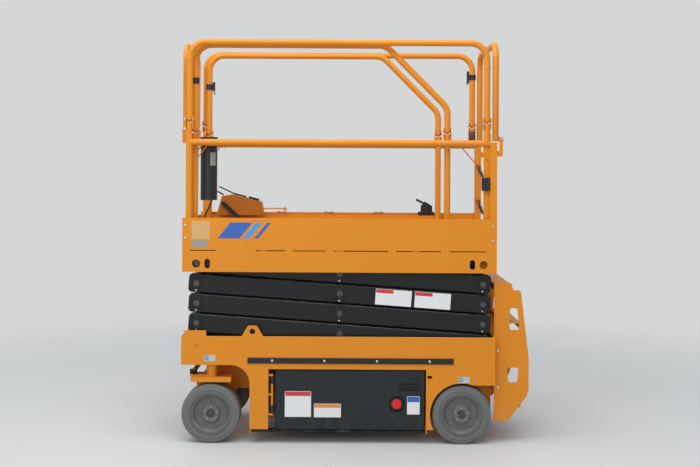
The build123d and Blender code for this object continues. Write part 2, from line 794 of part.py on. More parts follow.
def lower_hinge(x, y, z):
    """Two ears and a bolt along X that carry a folding post."""
    r = tube_d / 2
    for s in (-1, 1):
        near = x + s * (r + ear_gap)
        far = near + s * ear_t
        slab(near, far, y - r + 1, y + r - 1, z - 50, z)
        rod_x(y, z, r - 1, near, far)
        slab(x + s * (r - 4), far, y - 8, y + 8, z - 50, z - 30)
    reach = r + ear_gap + ear_t + 1
    rod_x(y, z, bolt_r, x - reach, x + reach)


stub_gap = tube_d / 2 + 2    # hinge line to the top of a stub
brace_d = 8
post_low_z = lip_z + lip_t
gate_top_z = rail_mid_z
cap_t = 6
web_x = gate_x - 34
web_out = 2                  # outer face of the web, outside the rails' centre line
web_t = 6
eye_y = rail_y - 29          # eyes of the entry chains
eyes_z = (deck_z + 440, deck_z + 230)
with BuildPart() as main_rails:
    for name, side in sides:
        y = side * rail_y
        y0 = side * (rail_y - tube_d / 2)
        y1 = side * (rail_y + tube_d / 2)
        rod_z(main_post_front_x, y, tube_d / 2, post_low_z, main_hinge_z - stub_gap)
        rod_z(main_post_rear_x, y, tube_d / 2, rail_mid_z, main_hinge_z - stub_gap)
        for x in (main_post_front_x, main_post_rear_x):
            lower_hinge(x, y, main_hinge_z)
        rod_x(y, rail_mid_z, tube_d / 2, main_post_front_x, gate_x + 2)
        # gate post under its cap plate, and the lug between it and the upper post
        slab(gate_x, deck_rear_x, y0, y1, deck_z, gate_top_z)
        slab(web_x + 4, deck_rear_x, y0, y1, gate_top_z, gate_top_z + cap_t)
        slab(main_post_rear_x, main_post_rear_x + 22, y - 6, y + 6, gate_top_z, gate_top_z + 53)
        straight_tube((gate_x - 74, y, rail_mid_z - 16), (gate_x + 2, y, rail_mid_z - 105), brace_d)
        # chain eyes
        for z in eyes_z:
            slab(gate_x + 16.5, gate_x + 21.5, side * (eye_y - 10), y0 + side, z - 10, z + 10)
            rod_x(side * eye_y, z, 5, gate_x, deck_rear_x, Mode.SUBTRACT)
    # web with a stamped recess beside the left gate post, behind the socket box
    slab(web_x, gate_x + 2, -rail_y - web_out, -rail_y - web_out + web_t, deck_z, gate_top_z)
    slot_y(web_x + 17, deck_z + 432, 85, 20, -rail_y - web_out, 3 - rail_y - web_out, angle=90)
save(main_rails, "main_rails")


def folding_frame(points, hinges, along="X", d=tube_d):
    """A bent tube frame with a rounded end and a bolt hole at each hinge."""
    with BuildPart() as piece:
        bent_tube(points, d=d)
        for x, y, z in hinges:
            with Locations((x, y, z)):
                Sphere(d / 2)
            if along == "X":
                rod_x(y, z, bolt_r + pin_gap, x - d, x + d, Mode.SUBTRACT)
            else:
                rod_y(x, z, bolt_r + pin_gap, y - d, y + d, Mode.SUBTRACT)
    return piece


for name, side in sides:
    y = side * rail_y
    frame = folding_frame(
        [
            (main_post_front_x, y, main_hinge_z),
            (main_post_front_x, y, rail_top_z),
            (main_post_rear_x, y, rail_top_z),
            (main_post_rear_x, y, main_hinge_z),
        ],
        [(main_post_front_x, y, main_hinge_z), (main_post_rear_x, y, main_hinge_z)],
    )
    save(frame, f"main_frame_{name}")

# rear cross frame, folds out and down over the entry
rear_frame_x = deck_rear_x - 8
rear_axis_x = deck_rear_x + 24
rear_hinge_z = deck_z + rear_hinge_h
rear_foot_z = rear_hinge_z - 12
lug_half_t = 5
cheek_t = 4
cheek_z = rear_hinge_z - 95
with BuildPart() as rear_frame:
    bent_tube(
        [
            (rear_frame_x, -rail_y, rear_foot_z),
            (rear_frame_x, -rail_y, rail_top_z),
            (rear_frame_x, rail_y, rail_top_z),
            (rear_frame_x, rail_y, rear_foot_z),
        ]
    )
    for name, side in sides:
        y0 = side * rail_y - lug_half_t
        y1 = side * rail_y + lug_half_t
        slab(rear_frame_x, rear_axis_x, y0, y1, rear_hinge_z - 12, rear_hinge_z + 12)
        rod_y(rear_axis_x, rear_hinge_z, 12, y0, y1)
        rod_y(rear_axis_x, rear_hinge_z, bolt_r + pin_gap, y0 - 1, y1 + 1, Mode.SUBTRACT)
save(rear_frame, "rear_frame")

with BuildPart() as rear_hinges:
    for name, side in sides:
        y = side * rail_y
        for s in (-1, 1):
            y0 = y + s * (lug_half_t + ear_gap)
            y1 = y0 + s * cheek_t
            slab(deck_rear_x + seat_gap, rear_axis_x, y0, y1, cheek_z, cheek_z + 30)
            slab(rear_axis_x - 8, rear_axis_x + 8, y0, y1, cheek_z, rear_hinge_z)
            rod_y(rear_axis_x, rear_hinge_z, 8, y0, y1)
        slab(deck_rear_x + seat_gap, deck_rear_x + 4, y - 14, y + 14, cheek_z, cheek_z + 30)
        rod_y(rear_axis_x, rear_hinge_z, bolt_r, y - 11, y + 11)
save(rear_hinges, "rear_hinges")

# ---------------------------------------------------------------- entry chains
link_l = 56
link_w = 24
link_t = 6
link_pitch = link_l - 2 * link_t - 0.6
links = 15                   # odd, so that both end links lie across their eyes
chain_x = deck_rear_x - 19
run = link_l - link_t + (links - 1) * link_pitch
slack = 1 - 2 * eye_y / run
swing = sqrt(10 - sqrt(100 - 120 * slack))    # half the arc the chain hangs in
arc_r = run / (2 * swing)


def chain_link(place, across):
    """A flat link; across turns its width into the chain's plane."""
    flat = Plane(origin=place.origin, x_dir=place.x_dir, z_dir=place.z_dir if across else place.y_dir)
    with BuildSketch(flat) as outline:
        Rectangle(link_l, link_w)
        Rectangle(link_l - 2 * link_t, link_w - 2 * link_t, mode=Mode.SUBTRACT)
    extrude(outline.sketch, amount=link_t / 2, both=True)


with BuildPart() as entry_chains:
    for z in eyes_z:
        centre_z = z + arc_r * cos(swing)
        for n in range(links):
            turn = ((link_l - link_t) / 2 + n * link_pitch) / arc_r - swing
            place = Plane(
                origin=(chain_x, arc_r * sin(turn), centre_z - arc_r * cos(turn)),
                x_dir=(0, cos(turn), sin(turn)),
                z_dir=(1, 0, 0),
            )
            chain_link(place, across=n % 2 == 1)
save(entry_chains, "entry_chains")

socket_z = deck_z + 304
with BuildPart() as gate_socket:
    back_y = -rail_y - web_out - seat_gap
    slab(web_x - 12, gate_x - seat_gap, -rail_y - 24, back_y, socket_z, socket_z + 71)
    fillet(gate_socket.edges().filter_by(Axis.X).sort_by(Axis.Y)[:2], 6)
save(gate_socket, "gate_socket")

# ---------------------------------------------------------------- roll-out deck
ext_floor_z = deck_z + ext_deck_gap
ext_floor_t = 6
ext_wall_t = 3
ext_wall_top_z = toe_top_z - 15
ext_back_x = ext_rear_x + 20
with BuildPart() as extension_deck:
    slab(deck_front_x, ext_back_x, -ext_half_w, ext_half_w, ext_floor_z, ext_floor_z + ext_floor_t)
    both_sides(deck_front_x, ext_back_x, ext_wall_y, ext_wall_y + ext_wall_t, ext_floor_z, ext_wall_top_z)
    slab(deck_front_x, deck_front_x + ext_wall_t, -ext_wall_y, ext_wall_y, ext_floor_z, ext_wall_top_z)
    for x in (deck_front_x + 40, ext_back_x - 120):
        both_sides(x, x + 60, 250, 310, deck_z + seat_gap, ext_floor_z)
save(extension_deck, "extension_deck")

cross_y = ext_rail_y - 42
cross_hinge_z = ext_hinge_z + 5
cross_top_z = rail_top_z - 3
bracket_in = cross_y + cross_d / 2 + running_gap
with BuildPart() as extension_rails:
    for name, side in sides:
        y = side * ext_rail_y
        for x in (ext_post_front_x, ext_rear_x):
            rod_z(x, y, tube_d / 2, ext_floor_z + ext_floor_t, ext_hinge_z - stub_gap)
            lower_hinge(x, y, ext_hinge_z)
        rod_x(y, rail_mid_z, tube_d / 2, ext_post_front_x, ext_rear_x)
        brace_x = ext_post_front_x + 40
        straight_tube((ext_post_front_x - 9, y, 1564), (brace_x, y, rail_mid_z - 16), brace_d)
        # bracket of the folding front frame
        y0 = side * bracket_in
        y1 = side * (bracket_in + 5)
        slab(cross_x - 12, ext_post_front_x + 8, y0, y1, cross_hinge_z - 80, cross_hinge_z - 35)
        slab(cross_x - 12, cross_x + 12, y0, y1, cross_hinge_z - 80, cross_hinge_z)
        slab(ext_post_front_x - 8, ext_post_front_x + 8, y0, y, cross_hinge_z - 80, cross_hinge_z - 35)
        rod_y(cross_x, cross_hinge_z, 12, side * (cross_y + cross_d / 2 + 1), y1)
        rod_y(cross_x, cross_hinge_z, bolt_r, side * (cross_y - cross_d / 2 - 3), y1)
    rod_y(ext_post_front_x, rail_mid_z, tube_d / 2, -ext_rail_y, ext_rail_y)
save(extension_rails, "extension_rails")

ext_slope_x = ext_rear_x - 339                # where the top rail starts to slope
ext_slope_z = ext_top_z - 340
for name, side in sides:
    y = side * ext_rail_y
    frame = folding_frame(
        [
            (ext_post_front_x, y, ext_hinge_z),
            (ext_post_front_x, y, ext_top_z),
            (ext_slope_x, y, ext_top_z),
            (ext_rear_x, y, ext_slope_z),
            (ext_rear_x, y, ext_hinge_z),
        ],
        [(ext_post_front_x, y, ext_hinge_z), (ext_rear_x, y, ext_hinge_z)],
    )
    save(frame, f"extension_frame_{name}")

front_frame = folding_frame(
    [
        (cross_x, -cross_y, cross_hinge_z),
        (cross_x, -cross_y, cross_top_z),
        (cross_x, cross_y, cross_top_z),
        (cross_x, cross_y, cross_hinge_z),
    ],
    [(cross_x, -cross_y, cross_hinge_z), (cross_x, cross_y, cross_hinge_z)],
    along="Y",
    d=cross_d,
)
save(front_frame, "front_frame")

# ---------------------------------------------------------------- platform fittings
# document tube under its cap, strapped to the left middle rail
doc_x = deck_front_x + 125
doc_y = 68 - ext_rail_y
doc_r = 46
doc_low_z = deck_z + 242
doc_top_z = rail_mid_z + 18
doc_wall = 4
cap_r = doc_r + 2.5
strap_y = ext_rail_y - tube_d / 2 - seat_gap
with BuildPart() as document_tube:
    rod_z(doc_x, doc_y, doc_r, doc_low_z, doc_top_z)
    slab(doc_x - 14, doc_x + 14, -strap_y, doc_y - doc_r + 6, rail_mid_z - 12, rail_mid_z + 6)
    rod_z(doc_x, doc_y, doc_r - doc_wall, doc_low_z + 6, doc_top_z, Mode.SUBTRACT)
    # cap
    rod_z(doc_x, doc_y, cap_r, doc_top_z - 9, doc_top_z + 12)
    rod_z(doc_x, doc_y, doc_r + seat_gap, doc_top_z - 9, doc_top_z + seat_gap, Mode.SUBTRACT)
    rod_z(doc_x, doc_y, doc_r, doc_top_z - 9, doc_top_z)
    rod_z(doc_x, doc_y, doc_r - doc_wall, doc_top_z - 10, doc_top_z + 6, Mode.SUBTRACT)
save(document_tube, "document_tube")

# bracket for the upper control box: an open-backed shell on the right toe board
console_front = 250          # its face, distance from the middle of the deck
console_back = 316
shell_t = 4
console = ((-830, 1205), (-800, 1318), (-730, 1330), (-560, 1285), (-548, 1205))
hollow = ((-824, 1209), (-797, 1314), (-730, 1326), (-563, 1282), (-553, 1209))
with BuildPart() as control_bracket:
    panel(console, console_front, console_back)
    panel(hollow, console_front + shell_t, console_back + 1, mode=Mode.SUBTRACT)
    slab(-780, -600, console_back - 6, console_back, 1150, 1209)
    slab(-780, -600, console_back - 6, ext_wall_y - seat_gap, 1150, 1200)
save(control_bracket, "control_bracket")

rest_r = 4
knob_z = 1245
middle = (console_front + console_back) / 2
with BuildPart() as control_fittings:
    # grip on the face
    slot_y(-747, 1235, 141, 24, console_front - 12, console_front - seat_gap, Mode.ADD, -43)
    # cushion on the top
    panel(((-640, 1306.6), (-580, 1290.7), (-577, 1301.5), (-637, 1317.4)), middle - 20, middle + 20)
    # rest bar, cable and a short bar with its knob
    bent_tube([(-820, middle, 1376), (-735, middle, 1336.3), (-655, middle, 1315.1)], bend=20, d=2 * rest_r)
    bent_tube(
        [(-905, middle - 22, ext_floor_z + 6.3), (-905, middle - 22, 1190), (-834, middle - 22, 1352),
         (-790, middle - 22, 1326)],
        bend=18, d=9,
    )
    rod_x(middle, knob_z, rest_r, -553, -425)
    rod_x(middle, knob_z, 10, -430, -413)
save(control_fittings, "control_fittings")

# toggle clamp that locks the roll-out deck, on the right side panel
lock_x = 385
lock_z = toe_top_z + 8
with BuildPart() as deck_lock:
    slab(lock_x, lock_x + 95, panel_in - 26, panel_in - seat_gap, lock_z - 38, lock_z)
    tower = (
        (lock_x + 15, lock_z - 2), (lock_x + 15, lock_z + 34), (lock_x + 40, lock_z + 62),
        (lock_x + 85, lock_z + 34), (lock_x + 85, lock_z - 2),
    )
    panel(tower, panel_in - 20, panel_in - 6)
    straight_tube((lock_x - 14, panel_in - 13, lock_z + 74), (lock_x + 52, panel_in - 13, lock_z + 40), 14)
save(deck_lock, "deck_lock")
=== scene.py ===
"""Looks of the scissor lift: finishes, fasteners, plates, floor, light and camera.

Metres, +Z up.  The machine's left side faces -Y, its ladder end +X.
"""
import json
import random
from math import asin, cos, pi, radians, sin, sqrt, tau

import bmesh
import bpy
from mathutils import Matrix, Vector

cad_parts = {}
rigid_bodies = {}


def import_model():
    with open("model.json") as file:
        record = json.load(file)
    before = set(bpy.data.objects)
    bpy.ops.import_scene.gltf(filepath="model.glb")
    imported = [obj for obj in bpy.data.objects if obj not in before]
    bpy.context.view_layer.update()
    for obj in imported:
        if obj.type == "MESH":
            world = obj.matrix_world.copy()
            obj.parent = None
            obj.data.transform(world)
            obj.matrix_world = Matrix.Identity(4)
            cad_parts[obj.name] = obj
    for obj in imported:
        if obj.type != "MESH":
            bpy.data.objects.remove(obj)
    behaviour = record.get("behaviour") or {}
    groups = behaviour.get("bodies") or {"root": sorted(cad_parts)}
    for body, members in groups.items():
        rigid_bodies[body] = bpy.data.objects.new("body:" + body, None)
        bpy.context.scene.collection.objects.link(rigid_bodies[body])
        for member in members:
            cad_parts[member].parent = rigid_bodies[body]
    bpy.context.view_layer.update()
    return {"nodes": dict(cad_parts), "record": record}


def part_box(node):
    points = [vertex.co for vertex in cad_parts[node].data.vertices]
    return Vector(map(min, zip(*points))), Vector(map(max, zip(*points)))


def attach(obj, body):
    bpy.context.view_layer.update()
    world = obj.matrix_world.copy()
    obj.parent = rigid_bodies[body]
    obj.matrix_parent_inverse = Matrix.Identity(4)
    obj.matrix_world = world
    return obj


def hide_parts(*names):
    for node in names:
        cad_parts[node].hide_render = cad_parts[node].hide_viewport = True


for leftover in list(bpy.data.objects):
    bpy.data.objects.remove(leftover)

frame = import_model()
nodes = frame["nodes"]
joints = {joint["name"]: joint for joint in frame["record"]["behaviour"]["joints"]}
sides = (("left", -1), ("right", 1))
draw = random.Random(7)      # turns the heads of the hex bolts

UP = (0, 0, 1)
sink = 0.0003                # how far a small piece reaches into what carries it
bolt_sink = 0.0005
film_low, film_high = -0.0001, 0.0004   # a sticker, from the face it lies on
header_lift = 0.0002         # a printed header over its sticker


# ---------------------------------------------------------------- finishes
class Value:
    """A shader socket that takes part in sums."""

    def __init__(self, finish, socket):
        self.finish = finish
        self.socket = socket

    def _math(self, operation, first, second):
        return self.finish.add("ShaderNodeMath", {"operation": operation}, {0: first, 1: second})

    def __add__(self, other):
        return self._math("ADD", self, other)

    def __radd__(self, other):
        return self._math("ADD", other, self)

    def __sub__(self, other):
        return self._math("SUBTRACT", self, other)

    def __rsub__(self, other):
        return self._math("SUBTRACT", other, self)

    def __mul__(self, other):
        return self._math("MULTIPLY", self, other)


class Finish:
    """A node material built from expressions."""

    def __init__(self, name):
        self.material = bpy.data.materials.new(name)
        self.material.use_nodes = True
        self.tree = self.material.node_tree
        self.tree.nodes.clear()
        self.where = self.add("ShaderNodeTexCoord", output="Object")

    def add(self, kind, settings=None, inputs=None, output=0):
        """A node of this kind, its settings made first, then its sockets filled."""
        node = self.tree.nodes.new(kind)
        for key, value in (settings or {}).items():
            setattr(node, key, value)
        for key, value in (inputs or {}).items():
            if isinstance(value, Value):
                self.tree.links.new(value.socket, node.inputs[key])
            else:
                node.inputs[key].default_value = value
        return Value(self, node.outputs[output])

    def noise(self, scale, detail=2.0, stretch=(1, 1, 1)):
        """Noise from 0 to 1, about 1/scale metres from crest to crest."""
        place = self.add("ShaderNodeMapping", {}, {"Vector": self.where, "Scale": stretch})
        return self.add(
            "ShaderNodeTexNoise", {}, {"Vector": place, "Scale": scale, "Detail": detail}, "Fac"
        )

    def step(self, value, low, high):
        """0 below low, 1 above high, smooth between them."""
        return self.add(
            "ShaderNodeMapRange",
            {"interpolation_type": "SMOOTHSTEP"},
            {"Value": value, "From Min": low, "From Max": high},
        )

    def blend(self, share, first, second):
        """The first colour where share is 0, the second where it is 1."""
        return self.add(
            "ShaderNodeMix", {"data_type": "RGBA"}, {"Factor": share, "A": first, "B": second}, 2
        )

    def upward(self):
        """1 on faces that look up, 0 on walls and undersides."""
        normal = self.add("ShaderNodeNewGeometry", output="Normal")
        height = self.add("ShaderNodeSeparateXYZ", {}, {0: normal}, "Z")
        return self.step(height, 0.5, 0.95)

    def outward(self):
        """1 or -1 on walls that face across the machine, 0 along it."""
        normal = self.add("ShaderNodeNewGeometry", output="Normal")
        return self.add("ShaderNodeSeparateXYZ", {}, {0: normal}, "Y")

    def along(self, axis):
        """Distance from the origin along X, Y or Z, in metres."""
        return self.add("ShaderNodeSeparateXYZ", {}, {0: self.where}, axis)

    def bump(self, relief, depth):
        """A normal from relief, which is depth metres from its lowest to its highest."""
        return self.add(
            "ShaderNodeBump", {}, {"Height": relief, "Distance": depth, "Strength": 1.0}
        )

    def surface(self, **sockets):
        """Closes the material with a Principled surface; sockets by name, _ for a space."""
        named = {key.replace("_", " "): value for key, value in sockets.items()}
        shader = self.add("ShaderNodeBsdfPrincipled", {}, named)
        end = self.tree.nodes.new("ShaderNodeOutputMaterial")
        self.tree.links.new(shader.socket, end.inputs["Surface"])
        return self.material


def shade(colour, factor):
    """The colour made lighter or darker, with full alpha."""
    return tuple(min(1.0, channel * factor) for channel in colour) + (1.0,)


DUST = (0.42, 0.40, 0.36, 1.0)


def powder_coat(name, colour, gloss, dust, coat=0.1):
    """Baked powder coat: fine orange peel, slow drift of tone, dust where it settles."""
    finish = Finish(name)
    drift = finish.noise(2.2, 3.0)
    grime = finish.noise(24, 5.0)
    settled = finish.upward() * finish.step(grime, 0.35, 0.75) * dust
    near_floor = 1 - finish.step(finish.along("Z"), 0.02, 0.45)
    splashed = near_floor * finish.step(grime, 0.45, 0.8) * dust
    clean = finish.blend(drift, shade(colour, 0.95), shade(colour, 1.05))
    tone = finish.blend(settled + splashed * 0.6, clean, DUST)
    peel = finish.noise(650, 1.5)
    return finish.surface(
        Base_Color=tone,
        Roughness=gloss + (drift - 0.5) * 0.1 + settled * 0.35,
        Normal=finish.bump(peel, 0.00006),
        Coat_Weight=coat,
        Coat_Roughness=0.25,
        Specular_IOR_Level=0.3,
    )


def moulded(name, colour, gloss, grain=900, depth=0.00004):
    """Moulded plastic or rubber with a fine grain."""
    finish = Finish(name)
    drift = finish.noise(9, 3.0)
    scuff = finish.step(finish.noise(60, 4.0, (1, 1, 6)), 0.62, 0.8)
    tone = finish.blend(drift, shade(colour, 0.85), shade(colour, 1.2))
    tone = finish.blend(scuff * 0.12, tone, DUST)
    return finish.surface(
        Base_Color=tone,
        Roughness=gloss + scuff * 0.15 + (drift - 0.5) * 0.08,
        Normal=finish.bump(finish.noise(grain, 2.0), depth),
    )


def tyre_rubber(name, colour):
    """Non-marking rubber, dustier on the tread than on the walls."""
    finish = Finish(name)
    blotch = finish.noise(7, 4.0)
    speck = finish.noise(120, 5.0)
    tone = finish.blend(blotch, shade(colour, 0.92), shade(colour, 1.08))
    across = finish.add("ShaderNodeMath", {"operation": "ABSOLUTE"}, {0: finish.outward()})
    wall = finish.step(across, 0.2, 0.9)
    tone = finish.blend(finish.step(speck, 0.5, 0.78) * (0.22 - wall * 0.14), tone, DUST)
    return finish.surface(
        Base_Color=tone,
        Roughness=0.72 + (speck - 0.5) * 0.2,
        Normal=finish.bump(finish.noise(420, 3.0) + blotch * 0.4, 0.00012),
        Specular_IOR_Level=0.35,
    )


def metal(name, colour, gloss, grain, stretch=(1, 1, 1), depth=0.00002, tarnish=0.15):
    """Bare or plated metal with its machining or drawing marks."""
    finish = Finish(name)
    marks = finish.noise(grain, 3.0, stretch)
    stain = finish.step(finish.noise(35, 4.0), 0.5, 0.85)
    tone = finish.blend(stain * tarnish, shade(colour, 1.0), shade(colour, 0.45))
    return finish.surface(
        Base_Color=tone,
        Metallic=1.0,
        Roughness=gloss + marks * 0.14 + stain * 0.12,
        Normal=finish.bump(marks, depth),
    )


def vinyl(name, colour):
    """Printed sticker film, faintly rippled, with a little dirt."""
    finish = Finish(name)
    ripple = finish.noise(40, 1.0)
    dirt = finish.step(finish.noise(90, 5.0), 0.55, 0.8)
    return finish.surface(
        Base_Color=finish.blend(dirt * 0.1, shade(colour, 1.0), DUST),
        Roughness=0.3 + ripple * 0.12,
        Normal=finish.bump(ripple, 0.00008),
        Coat_Weight=0.3,
    )


ORANGE = (0.68, 0.235, 0.008)
# the control bracket's orange is a darker copy of the orange paint: painted shade for the shade it
# stands in
SHADED_BRACKET_ORANGE = (0.40, 0.128, 0.006)
GRAPHITE = (0.0068, 0.0072, 0.0080)
SLATE = (0.0115, 0.0160, 0.0195)
BLACK = (0.0075, 0.0075, 0.008)
PLASTIC_BLACK = (0.0085, 0.0085, 0.009)
PLATE_BLACK = (0.008, 0.008, 0.009)
# near-black for the locks and latches: their own black plastic, darkened further to paint the shade
# of their recesses
RECESS_SHADE_BLACK = (0.0028, 0.0028, 0.0030)
PLASTIC_RED = (0.62, 0.018, 0.012)
BUTTON_RED = (0.60, 0.016, 0.012)
BROWN = (0.10, 0.030, 0.016)
TYRE = (0.138, 0.143, 0.140)
RIM = (0.122, 0.128, 0.131)
STEEL = (0.56, 0.55, 0.53)
CHROME = (0.75, 0.75, 0.77)
ZINC = (0.62, 0.61, 0.58)
DULL_ZINC = (0.36, 0.355, 0.34)
BLACKENED = (0.10, 0.10, 0.10)

finishes = {
    "orange_paint": powder_coat("orange_powder_coat", ORANGE, gloss=0.42, dust=0.16),
    "arm_paint": powder_coat("graphite_arm_paint", GRAPHITE, gloss=0.4, dust=0.16),
    "slate_paint": powder_coat("slate_door_coat", SLATE, gloss=0.4, dust=0.07),
    "black_paint": powder_coat("black_paint", BLACK, gloss=0.48, dust=0.25, coat=0.0),
    "black_rubber": moulded("black_rubber", BLACK, gloss=0.62, grain=500, depth=0.0001),
    "black_plastic": moulded("black_plastic", PLASTIC_BLACK, gloss=0.5),
    "red_plastic": moulded("red_plastic", PLASTIC_RED, gloss=0.26, depth=0.00001),
    "steel": metal("turned_steel", STEEL, 0.3, 500, stretch=(1, 8, 1)),
    "chrome_rod": metal("ground_chrome", CHROME, 0.08, 1200, depth=0.000004, tarnish=0.02),
    "grey_tyre": tyre_rubber("grey_tyre_rubber", TYRE),
    "grey_rim": powder_coat("grey_rim_paint", RIM, gloss=0.5, dust=0.3, coat=0.0),
}
zinc = metal("zinc_plate", ZINC, 0.28, 700)
dull_zinc = metal("dull_zinc", DULL_ZINC, 0.36, 700)
blackened = metal("blackened_steel", BLACKENED, 0.38, 700)
black_and_recess_shade = moulded("black_and_recess_shade", RECESS_SHADE_BLACK, gloss=0.7)
rest_rubber = moulded("brown_rubber", BROWN, gloss=0.6, grain=500, depth=0.0001)
bracket_painted_shade_coat = powder_coat("bracket_painted_shade_coat", SHADED_BRACKET_ORANGE, gloss=0.5, dust=0.2)
white_film = vinyl("white_film", (0.72, 0.73, 0.74))
red_film = vinyl("red_film", (0.55, 0.03, 0.03))
amber_film = vinyl("amber_film", (0.66, 0.24, 0.05))
blue_film = vinyl("blue_film", (0.02, 0.10, 0.42))
sky_film = vinyl("sky_film", (0.06, 0.27, 0.62))
pale_film = vinyl("pale_film", (0.62, 0.36, 0.13))
worn_film = vinyl("worn_film", (0.46, 0.49, 0.50))
slate_film = vinyl("slate_film", (0.22, 0.33, 0.42))
grey_film = vinyl("grey_film", (0.30, 0.28, 0.25))


def two_tone(name, base, other, mask):
    """Moulded plastic that changes to another colour where mask(finish) is 1."""
    finish = Finish(name)
    grain = finish.noise(900, 2.0)
    drift = finish.noise(9, 3.0)
    tone = finish.blend(drift, shade(base, 0.9), shade(base, 1.15))
    tone = finish.blend(mask(finish), tone, shade(other, 1.0))
    return finish.surface(
        Base_Color=tone,
        Roughness=0.36 + drift * 0.14,
        Normal=finish.bump(grain, 0.00004),
        Specular_IOR_Level=0.4,
    )


def refinish(node, finish):
    """Gives a CAD node its finish."""
    nodes[node].data.materials.clear()
    nodes[node].data.materials.append(finish)


for subpart in frame["record"]["subparts"]:
    refinish(subpart["node"], finishes[subpart["material_slot"]])


def soften(node, width):
    """Rounds the sharp edges of a CAD node with modifiers alone."""
    weld = nodes[node].modifiers.new("weld", "WELD")
    weld.merge_threshold = 0.00002
    flat = nodes[node].modifiers.new("flat", "DECIMATE")
    flat.decimate_type = "DISSOLVE"
    flat.angle_limit = radians(0.5)
    edges = nodes[node].modifiers.new("edges", "BEVEL")
    edges.width = width
    edges.segments = 2
    edges.limit_method = "ANGLE"
    edges.angle_limit = radians(38)
    edges.harden_normals = True
    edges.use_clamp_overlap = True


# ---------------------------------------------------------------- forms
def toward(at, direction, turn=0.0):
    """A place at a point, its local z along direction."""
    facing = Vector(direction).to_track_quat("Z", "Y").to_matrix().to_4x4()
    return Matrix.Translation(at) @ facing @ Matrix.Rotation(turn, 4, "Z")


def wall(at, side, tilt=0.0):
    """A place on a wall that faces side, its local x along X and its local y up."""
    upright = Matrix(((1, 0, 0, 0), (0, 0, side, 0), (0, 1, 0, 0), (0, 0, 0, 1)))
    return Matrix.Translation(at) @ Matrix.Rotation(tilt, 4, "Y") @ upright


class Form:
    """Gathers closed solids into one piece."""

    def __init__(self):
        self.mesh = bmesh.new()

    def turned(self, profile, place, steps=24, closed=False):
        """(height, radius) pairs turned about local z; closed for a ring."""
        rings = []
        for height, radius in profile:
            if radius == 0:
                rings.append([self.mesh.verts.new(place @ Vector((0, 0, height)))])
                continue
            ring = [
                Vector((radius * cos(tau * n / steps), radius * sin(tau * n / steps), height))
                for n in range(steps)
            ]
            rings.append([self.mesh.verts.new(place @ point) for point in ring])
        for low, high in zip(rings, rings[1:] + rings[:1] if closed else rings[1:]):
            for n in range(steps):
                m = (n + 1) % steps
                corners = (
                    low[n % len(low)], low[m % len(low)], high[m % len(high)], high[n % len(high)],
                )
                unique = list(dict.fromkeys(corners))
                if len(unique) > 2:
                    self.mesh.faces.new(unique)
        if not closed:
            if len(rings[0]) > 1:
                self.mesh.faces.new(rings[0][::-1])
            if len(rings[-1]) > 1:
                self.mesh.faces.new(rings[-1])

    def prism(self, outline, low, high, place):
        """An outline of (x, y) points raised from low to high along local z."""
        bottom = [self.mesh.verts.new(place @ Vector((x, y, low))) for x, y in outline]
        top = [self.mesh.verts.new(place @ Vector((x, y, high))) for x, y in outline]
        self.mesh.faces.new(bottom[::-1])
        self.mesh.faces.new(top)
        for n in range(len(outline)):
            m = (n + 1) % len(outline)
            self.mesh.faces.new((bottom[n], bottom[m], top[m], top[n]))

    def tube(self, route, radius, steps=12):
        """A round bar that follows the points of route."""
        points = [Vector(point) for point in route]
        rings = []
        across = None
        for before, point, after in zip(points[:1] + points, points, points[1:] + points[-1:]):
            along = (after - before).normalized()
            if across is None:
                across = along.orthogonal().normalized()
            across = (across - along * across.dot(along)).normalized()
            beside = along.cross(across)
            rings.append([
                self.mesh.verts.new(
                    point + radius * (across * cos(tau * k / steps) + beside * sin(tau * k / steps))
                )
                for k in range(steps)
            ])
        for low, high in zip(rings, rings[1:]):
            for k in range(steps):
                m = (k + 1) % steps
                self.mesh.faces.new((low[k], low[m], high[m], high[k]))
        self.mesh.faces.new(rings[0][::-1])
        self.mesh.faces.new(rings[-1])

    def piece(self, name, finish, body, slot, edge=0.0, crease=32):
        """Closes the form as one object on a body."""
        bmesh.ops.recalc_face_normals(self.mesh, faces=self.mesh.faces)
        data = bpy.data.meshes.new(name)
        self.mesh.to_mesh(data)
        self.mesh.free()
        data.shade_smooth()
        data.set_sharp_from_angle(angle=radians(crease))
        data.materials.append(finish)
        made = bpy.data.objects.new(name, data)
        bpy.context.scene.collection.objects.link(made)
        if edge:
            rounding = made.modifiers.new("edges", "BEVEL")
            rounding.width = edge
            rounding.segments = 2
            rounding.limit_method = "ANGLE"
            rounding.angle_limit = radians(crease)
            rounding.harden_normals = True
        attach(made, body)
        return made


def ring(half, inner, outer):
    """Closed section of a plain ring, for turned."""
    return [(-half, inner), (-half, outer), (half, outer), (half, inner)]


def rounded(width, height, corner):
    """Outline of a plate with rounded corners, centred."""
    steps = 5
    points = []
    for quarter, (sx, sy) in enumerate(((1, 1), (-1, 1), (-1, -1), (1, -1))):
        cx = sx * (width / 2 - corner)
        cy = sy * (height / 2 - corner)
        for n in range(steps + 1):
            turn = (quarter + n / steps) * pi / 2
            points.append((cx + corner * cos(turn), cy + corner * sin(turn)))
    return points


def leaning(width, height, lean):
    """Outline of a bar whose ends lean."""
    return [
        (-width / 2 - lean / 2, -height / 2), (width / 2 - lean / 2, -height / 2),
        (width / 2 + lean / 2, height / 2), (-width / 2 + lean / 2, height / 2),
    ]


def hexagon(across):
    """Outline of a hexagon, across its flats."""
    reach = across / sqrt(3)
    return [(reach * cos(n * pi / 3), reach * sin(n * pi / 3)) for n in range(6)]


def hex_bolt(form, at, direction, size):
    """Hex head on a washer; size is the thread diameter."""
    place = toward(at, direction, draw.uniform(0, pi / 3))
    washer = 0.15 * size
    head = washer + 0.62 * size
    form.turned([(-bolt_sink, size), (washer, size)], place, 20)
    form.prism(hexagon(1.6 * size), washer, head - 0.08 * size, place)
    form.turned([(head - 0.09 * size, 0.78 * size), (head, 0.66 * size)], place, 16)


